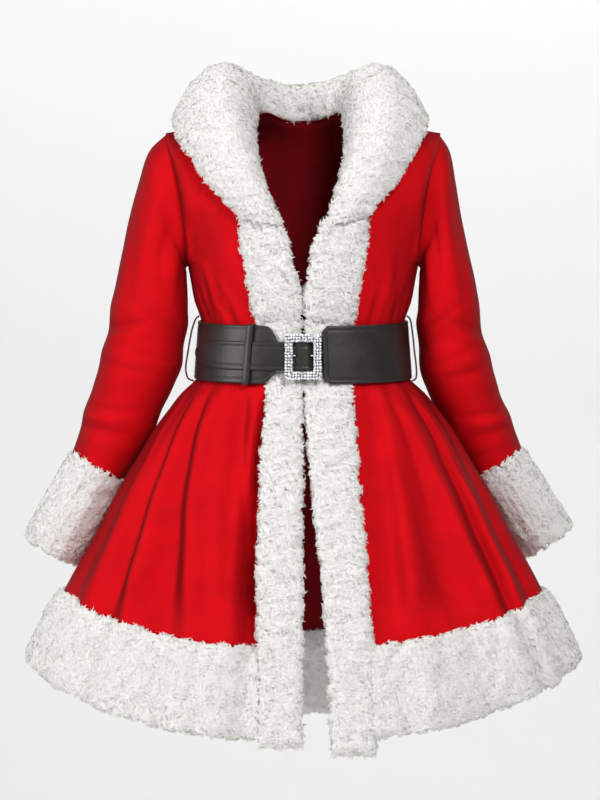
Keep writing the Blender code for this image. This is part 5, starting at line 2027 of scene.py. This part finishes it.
    def tongue(self) -> Object:
        """The narrow tongue, which rises over the buckle's bar, runs over the band and ends in a round tip.

        Returns:
            The tongue.
        """
        start, round_x, tip = self.tongue_ends
        straight_count, end_count = self.tongue_columns
        straight = np.linspace(start, round_x, straight_count)
        end = round_x + (tip - round_x) * np.sin(np.linspace(0, np.pi / 2, end_count)[1:])
        x = np.concatenate([straight, end])
        along = np.clip((x - round_x) / (tip - round_x), 0, 1)
        half = self.tongue_half_height * np.sqrt(np.clip(1 - along**2, 0.02**2, 1))
        raised = self.thickness + 2 * self.form.seam_gap
        lift = raised * soft_step(-x, *self.tongue_climb)
        over_bar = np.sqrt(np.clip(1 - (x / self.bar_half) ** 2, 0.0, 1.0))
        lift = lift + self.bar_lift * over_bar
        angle = self.front_angle(x)
        return self.strap("belt_tongue", angle, half, lift, self.tongue_thickness, self.tongue_lowering, x - tip)

    def keeper(self) -> Object:
        """A flat loop of leather round the band and the tongue, with its edges turned in.

        Returns:
            The keeper.
        """
        depth = self.thickness + self.tongue_thickness + 2 * self.form.seam_gap
        count, columns = self.keeper_grid
        front, end = self.keeper_squareness
        turn = np.linspace(0, 2 * np.pi, count + 1)[:-1]
        across = np.linspace(-0.5, 0.5, columns)
        grids = []
        for grow in (self.keeper_wall, 0.0):
            level = depth / 2 + (depth / 2 + self.keeper_room + grow) * signed_power(np.cos(turn), front)
            height = (self.half_height + self.keeper_room + grow) * signed_power(np.sin(turn), end)
            swell = self.keeper_swell * np.cos(np.pi * across[:, None]) * (grow > 0)
            angle = self.front_angle(self.keeper_x + self.keeper_width * across)[:, None]
            grids.append(self.point(angle, height[None, :], level[None, :] + swell * np.sign(np.cos(turn))))
        made = wall("belt_keeper_strap", grids[0], grids[1], [self.leather], True)
        return finish_piece(made, "black_leatherette", "belt_keeper")

    def stitches(self) -> Object:
        """Short stitches along the creased lines of the band and the tongue, each a small six-sided bar.

        Returns:
            All the stitches.
        """
        band = self.half_height - self.crease_inset, self.thickness, 0.0
        tongue = self.tongue_half_height - self.crease_inset, self.stitch_lift, self.tongue_lowering
        runs = [(run, *band) for run in self.band_runs] + [(self.tongue_run, *tongue)]
        lines = []
        for (x_from, x_to), offset, lift, lowering in runs:
            x = np.linspace(x_from, x_to, int(abs(x_to - x_from) / self.stitch_spacing))
            half = self.stitch_length / 2 * np.sign(x_to - x_from)
            level = lift - self.crease_depth + self.stitch_radius
            for height in (offset - lowering, -offset - lowering):
                ends = [self.point(self.front_angle(x + end), height, level) for end in (-half, half)]
                lines.append(np.stack(ends, 1))
        made = rods("belt_stitches", np.concatenate(lines), self.stitch_radius, self.thread)
        return finish_piece(made, "black_leatherette")

    def holes(self) -> Object:
        """The tongue's punched holes: shallow dishes on its skin, painted dark as the shade inside each hole.

        Returns:
            All the holes.
        """
        turn = np.linspace(0, 2 * np.pi, 17)[:-1]
        grids, faces = [], []
        for number, x in enumerate(self.hole_places):
            rings = []
            for radius, level in self.hole_rings:
                angle = self.front_angle(x + radius * np.cos(turn))
                rings.append(self.point(angle, self.hole_height + radius * np.sin(turn), level))
            grid = Surface(np.array(rings), True)
            grids.append(grid.points.reshape(-1, 3))
            faces.append(grid.quads() + number * len(grids[0]))
        # Painted shade: the dishes take the dark thread finish for the shade in the holes.
        made = build_mesh("belt_holes", np.concatenate(grids), np.concatenate(faces), [self.thread])
        return finish_piece(made, "black_leatherette")


def rods(name: str, ends: Array, radius: float, finish: Material, sides: int = 6) -> Object:
    """Many short straight rods with pointed ends in one mesh.

    Args:
        name: the object's name.
        ends: n x 2 x 3, the two ends of each.
        radius: their radius.
        finish: their material.
        sides: how many sides each has.

    Returns:
        The object. A rod's rings lie a fifth of the way in from its ends, at radius from its line.
    """
    along = unit(ends[:, 1] - ends[:, 0])
    first = unit(np.cross(along, [0.0, 0.3, 1.0]))
    second = np.cross(along, first)
    turn = np.arange(sides) * 2 * np.pi / sides
    circle = first[:, None] * np.cos(turn)[None, :, None] + second[:, None] * np.sin(turn)[None, :, None]
    near = ends[:, :1] * 0.8 + ends[:, 1:] * 0.2 + circle * radius
    far = ends[:, :1] * 0.2 + ends[:, 1:] * 0.8 + circle * radius
    points = np.concatenate([ends[:, :1], near, far, ends[:, 1:]], 1)
    here = np.arange(sides)
    after = (here + 1) % sides
    start = np.stack([0 * here, 1 + after, 1 + here], 1)
    end = np.stack([0 * here + 1 + 2 * sides, 1 + sides + here, 1 + sides + after], 1)
    side_a = np.stack([1 + here, 1 + after, 1 + sides + after], 1)
    side_b = np.stack([1 + here, 1 + sides + after, 1 + sides + here], 1)
    one = np.concatenate([start, side_a, side_b, end])
    faces = (np.arange(len(ends))[:, None, None] * (2 + 2 * sides) + one[None]).reshape(-1, 3)
    points = points.reshape(-1, 3)
    return build_mesh(name, points, facing_out(points, faces), [finish])


@dataclass
class Buckle:
    """The silver buckle, set with small rhinestones in three rows.

    Attributes:
        silver, crystal: its finishes.
        half_width, half_height, window_half_width, window_half_height: the frame's outline and window.
        back_y, depth: where its back lies and how thick it is.
        drop: the height of its middle.
        stone_radius, stone_height: the size of a stone.
        stone_step, stone_scatter: the stones' distance in radii, and how far one strays from its place.
        stone_gap: how far their girdles stand off the metal.
        stone_radii, stone_heights: the shares of the radius and of the height that are drawn.
        stone_table: the width of a stone's flat top, as a share.
        stone_base, stone_foot: its foot's width, as a share, and how far the foot reaches into the metal.
        tilt: how far the stones lean at random, in radians.
        rows: how far inside the outline each row of stones lies.
        profile: the frame's section from outline to window, each a share of the way and a share of its depth.
        squareness: the power that rounds the corners of the outline and the window. 1 is an ellipse.
        face_share: how much of the depth the metal has, under the stones.
        frame_points: how many points the outline has.
        prong_ends, prong_lift, prong_depth, prong_radius: the size and place of the two stubs.
    """

    silver: Material
    crystal: Material
    half_width: float = 0.0245
    half_height: float = 0.0305
    window_half_width: float = 0.0135
    window_half_height: float = 0.0200
    back_y: float = -0.1119
    depth: float = 0.005
    drop: float = 0.3365
    profile: tuple[tuple[float, float], ...] = (
        (0, 0.0), (0, 0.6), (0.10, 0.9), (0.3, 1.0), (0.7, 1.0), (0.90, 0.9), (1, 0.6), (1, 0.0),
    )
    squareness: float = 0.16
    face_share: float = 0.8
    frame_points: int = 128
    stone_radius: float = 0.00195
    stone_height: float = 0.0022
    stone_step: float = 2.05
    stone_scatter: float = 0.00022
    stone_gap: float = 0.0003
    stone_radii: tuple[float, float] = (0.82, 1.12)
    stone_heights: tuple[float, float] = (0.8, 1.2)
    stone_table: float = 0.32
    stone_base: float = 0.8
    stone_foot: float = 0.0008
    tilt: float = 0.9
    prong_ends: tuple[float, float] = (0.0150, 0.0095)
    prong_lift: float = 0.0015
    prong_depth: float = 0.0026
    prong_radius: float = 0.0011
    rows: tuple[float, ...] = (0.0012, 0.0050, 0.0088)

    def outline(self, inset: float, step: float) -> Array:
        """Places every step metres along the rectangle that lies inset inside the frame's outline.

        Args:
            inset: how far inside.
            step: the wanted distance between two places.

        Returns:
            n x 2: x and height.
        """
        w, h = self.half_width - inset, self.half_height - inset
        corners = np.array([(w, h), (-w, h), (-w, -h), (w, -h), (w, h)])
        lengths = np.concatenate([[0.0], np.cumsum(np.linalg.norm(np.diff(corners, axis=0), axis=1))])
        at = np.linspace(0, lengths[-1], int(round(lengths[-1] / step)) + 1)[:-1]
        return np.stack([np.interp(at, lengths, corners[:, 0]), np.interp(at, lengths, corners[:, 1])], 1)

    def frame(self) -> Object:
        """The cast frame: a rounded rectangle ring, thicker in the middle than at its edges.

        Returns:
            The frame.
        """
        turn = np.linspace(0, 2 * np.pi, self.frame_points + 1)[:-1]
        rings = []
        for share, forward in self.profile:
            w = self.half_width + (self.window_half_width - self.half_width) * share
            h = self.half_height + (self.window_half_height - self.half_height) * share
            x, z = (side * signed_power(wave(turn), self.squareness) for side, wave in ((w, np.cos), (h, np.sin)))
            rings.append(np.stack([x, 0 * x + self.back_y - forward * self.depth * self.face_share, z - self.drop], -1))
        grid = np.array(rings).transpose(1, 0, 2)
        points = grid.reshape(-1, 3)
        faces = facing_out(points, cell_faces(grid_numbers(*grid.shape[:2], across=True, along=True)))
        made = build_mesh("buckle_cast_frame", points, faces, [self.silver])
        return finish_piece(made, "silver", "buckle_frame")

    def stones(self) -> Object:
        """Rhinestones in staggered rows, each a low eight-sided crown with a flat table and a random lean.

        Returns:
            All the stones.
        """
        rng = np.random.default_rng(21)
        places = np.concatenate([self.outline(inset, self.stone_step * self.stone_radius) for inset in self.rows])
        places = places + rng.normal(0, self.stone_scatter, places.shape)
        count = len(places)
        radius = self.stone_radius * rng.uniform(*self.stone_radii, (count, 1, 1))
        height = self.stone_height * rng.uniform(*self.stone_heights, (count, 1, 1))
        turn = (np.arange(8) * np.pi / 4)[None, :] + rng.uniform(0, np.pi, (count, 1))
        ring = np.stack([np.cos(turn), 0 * turn, np.sin(turn)], -1)
        up = np.array([0.0, -1.0, 0.0])
        girdle = ring * radius
        table = (ring + np.roll(ring, -1, 1)) * radius * self.stone_table + up * height
        middle = np.broadcast_to(up * height, (count, 1, 3))
        base = ring * radius * self.stone_base - up * self.stone_foot
        local = np.concatenate([girdle, table, middle, base], 1)
        lean = rng.normal(0, self.tilt / 2, (count, 1, 2))
        local[..., 1] += local[..., 0] * lean[..., 0] + local[..., 2] * lean[..., 1]
        front = np.full(count, self.back_y - self.depth * self.face_share - self.stone_gap)
        centre = np.stack([places[:, 0], front, places[:, 1] - self.drop], 1)
        points = (local + centre[:, None]).reshape(-1, 3)
        here = np.arange(8)
        after = (here + 1) % 8
        one = np.concatenate([
            np.stack([here, 8 + here, after], 1),
            np.stack([8 + here, 8 + after, after], 1),
            np.stack([8 + here, 16 + 0 * here, 8 + after], 1),
            np.stack([here, after, 17 + here], 1),
            np.stack([after, 17 + after, 17 + here], 1),
        ])
        faces = (np.arange(count)[:, None, None] * 25 + one[None]).reshape(-1, 3)
        made = build_mesh("buckle_rhinestones", points, faces, [self.crystal], smooth=False)
        return finish_piece(made, "silver")

    def prongs(self) -> Object:
        """Two short silver stubs that hold the strap at the middle of the window.

        Returns:
            Both stubs.
        """
        y, z = self.back_y - self.prong_depth, self.prong_lift - self.drop
        outer, inner = self.prong_ends
        ends = np.array([[(sign * outer, y, z), (sign * inner, y - 0.001, z)] for sign in (-1, 1)])
        made = rods("buckle_prongs", ends, self.prong_radius, self.silver, 10)
        return finish_piece(made, "silver")


@dataclass
class ThreadLoops:
    """The thread loops at the side seams that hold the belt.

    Attributes:
        finish: the thread.
        radius: half the loop's thickness.
        twist: how far apart the chain's links are.
        swell: how much a link swells, as a share.
        grid: how many points there are along and round it.
        paths: each loop's way from its upper to its lower end, as distances from the middle and drops.
    """

    finish: Material
    radius: float = 0.0012
    twist: float = 0.0030
    swell: float = 0.22
    grid: tuple[int, int] = (160, 12)
    paths: dict[Side, tuple[tuple[float, float], ...]] = field(default_factory=lambda: {
        Side.LEFT: (
            (0.1440, 0.2775), (0.1495, 0.2830), (0.1550, 0.3000), (0.1600, 0.3280), (0.1630, 0.3500),
            (0.1600, 0.3640), (0.1515, 0.3685),
        ),
        Side.RIGHT: (
            (0.1440, 0.2775), (0.1490, 0.2830), (0.1520, 0.3000), (0.1550, 0.3280), (0.1575, 0.3500),
            (0.1570, 0.3640), (0.1515, 0.3685),
        ),
    })

    def build(self, side: Side) -> Object:
        """A tube whose radius swells with every link: radius * (1 + swell * cos(2 pi * length / twist + turn)).

        Args:
            side: which side.

        Returns:
            The loop.
        """
        path = np.array([(side.sign * x, 0.0, -drop) for x, drop in self.paths[side]])
        count, columns = self.grid
        line = smooth_rings(path, count)
        along = unit(np.gradient(line, axis=0))
        first = np.broadcast_to([0.0, 1.0, 0.0], line.shape)
        second = np.cross(along, first)
        length = np.concatenate([[0.0], np.cumsum(np.linalg.norm(np.diff(line, axis=0), axis=1))])
        turn = np.arange(columns)[None, :] * 2 * np.pi / columns
        swell = self.radius * (1 + self.swell * np.cos(2 * np.pi * length[:, None] / self.twist + turn))
        swell[0], swell[-1] = 1e-5, 1e-5
        tube = line[:, None] + swell[..., None] * (
            np.cos(turn)[..., None] * first[:, None] + np.sin(turn)[..., None] * second[:, None]
        )
        points, faces = tube.reshape(-1, 3), Surface(tube, True).quads()
        name = "belt_loop_" + side.value
        made = build_mesh("thread_" + name, points, facing_out(points, faces), [self.finish])
        return finish_piece(made, "red_velvet", name)


@dataclass
class Studio:
    """The floor, backdrop, lights and camera.

    Attributes:
        image_height: the height that the photograph takes in at the dress, in metres.
        distance: how far the camera stands from it.
        aim: the point in the middle of the image.
        floor_z: the height of the floor.
        paper: the backdrop's colour.
        backdrop_radius, backdrop_y: how wide its curve is, and how far behind the dress it stands.
        backdrop_reach, backdrop_height: how far it runs to the sides and forward, and how high it is.
        lamps: the softboxes.
        room_light: how strong the light of the white room is.
    """

    image_height: float = 1.112
    distance: float = 4.0
    aim: Point = (-0.0042, 0.0, -0.3948)
    floor_z: float = -1.90
    paper: str = "#F7F7F7"
    backdrop_radius: float = 1.6
    backdrop_y: float = 7.6
    backdrop_reach: float = 8.0
    backdrop_height: float = 5.0
    lamps: tuple[Lamp, ...] = (
        Lamp("key softbox", (1.0, -3.3, 1.8), 1.0, 100.0),
        Lamp("left softbox", (-3.0, -2.3, 0.6), 1.2, 72.0),
        Lamp("top softbox", (0.0, -0.6, 2.2), 1.6, 14.0),
        Lamp("left rim softbox", (-1.9, 1.4, 0.4), 1.0, 14.0),
        Lamp("right rim softbox", (1.9, 1.4, 0.4), 1.0, 14.0),
        Lamp("left backdrop softbox", (-2.2, 4.4, 3.2), 3.0, 80.0, (-1.6, 7.6, -1.4)),
        Lamp("right backdrop softbox", (2.2, 4.4, 3.2), 3.0, 94.0, (1.6, 7.6, -1.4)),
    )
    room_light: float = 0.24

    def backdrop(self) -> None:
        """Pale paper: flat on the floor and rising in a wide curve behind the dress."""
        turn = np.linspace(0, np.pi / 2, 25)
        radius, back, reach = self.backdrop_radius, self.backdrop_y, self.backdrop_reach
        y = np.concatenate([[-reach], back - radius + radius * np.sin(turn), [back]])
        z = np.concatenate([[0.0], radius - radius * np.cos(turn), [self.backdrop_height]]) + self.floor_z
        x = np.array([-reach, reach])
        grid = np.stack(np.broadcast_arrays(x[None, :], y[:, None], z[:, None]), -1)
        values = {"Base Color": linear(self.paper), "Roughness": 0.9}
        paper = start_material("pale backdrop paper", values)[0]
        floor = build_mesh("backdrop", grid.reshape(-1, 3), Surface(grid).quads(), [paper])

    def light(self, lamp: Lamp) -> None:
        """Hangs up a softbox and points it at its target.

        Args:
            lamp: the softbox.
        """
        area = bpy.data.lights.new(lamp.name, "AREA")
        area.size, area.energy = lamp.size, lamp.watts
        made = bpy.data.objects.new(lamp.name, area)
        made.location = lamp.place
        self.point_at(made, lamp.place, lamp.target)
        bpy.context.scene.collection.objects.link(made)

    @staticmethod
    def point_at(thing: Object, place: Point, target: Point) -> None:
        """Turns an object so that its -Z axis points from its place to the target.

        Args:
            thing: the object.
            place: where it is.
            target: what it is turned to.
        """
        direction = np.array(target) - np.array(place)
        flat = np.hypot(direction[0], direction[1])
        thing.rotation_euler = (np.arctan2(flat, -direction[2]), 0.0, np.arctan2(-direction[0], direction[1]))

    def camera(self) -> None:
        """A long lens straight in front of the dress, level with the middle of the image."""
        lens = bpy.data.cameras.new("camera")
        lens.sensor_width = 36.0
        lens.lens = lens.sensor_width * self.distance / self.image_height
        lens.clip_end = 100.0
        made = bpy.data.objects.new("camera", lens)
        made.location = (self.aim[0], -self.distance, self.aim[2])
        made.rotation_euler = (np.pi / 2, 0.0, 0.0)
        bpy.context.scene.collection.objects.link(made)
        bpy.context.scene.camera = made

    def build(self) -> None:
        """Sets up everything round the dress."""
        self.backdrop()
        self.camera()
        for lamp in self.lamps:
            self.light(lamp)
        world = bpy.data.worlds.new("soft white room")
        world.use_nodes = True
        background = world.node_tree.nodes["Background"]
        background.inputs["Color"].default_value = linear("#FFFFFF")
        background.inputs["Strength"].default_value = self.room_light
        bpy.context.scene.world = world
        bpy.context.scene.view_settings.view_transform = "Standard"


def main() -> None:
    """Builds the dress, piece by piece, and the studio round it."""
    logging.basicConfig(level=logging.INFO, format="%(name)s: %(message)s")
    finishes = Wardrobe()
    form = DressForm()
    velvet = VelvetShell(form, [finishes.velvet, finishes.velvet_back_with_painted_shade])
    velvet.bodice_back()
    sleeve = Sleeve(form, [finishes.velvet, finishes.velvet_back_with_painted_shade])
    trims = TrimSet(form, velvet, PlushTrim(finishes.plush))
    loops = ThreadLoops(finishes.red_thread)
    for side in Side:
        velvet.bodice_front(side)
        sleeve.build(side)
    for panel in Panel:
        velvet.skirt(panel)
        trims.hem_band(panel)
    for side in Side:
        trims.front_strip(side)
        trims.cuff(side)
        loops.build(side)
    trims.collar()
    belt = Belt(form, finishes.leather, finishes.black_thread)
    belt.band()
    belt.tongue()
    belt.keeper()
    belt.stitches()
    belt.holes()
    buckle = Buckle(finishes.silver, finishes.crystal)
    buckle.frame()
    buckle.stones()
    buckle.prongs()
    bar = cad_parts["buckle_bar"]
    bar.data.materials.clear()
    bar.data.materials.append(finishes.silver)
    Studio().build()


if __name__ == "__main__":
    main()
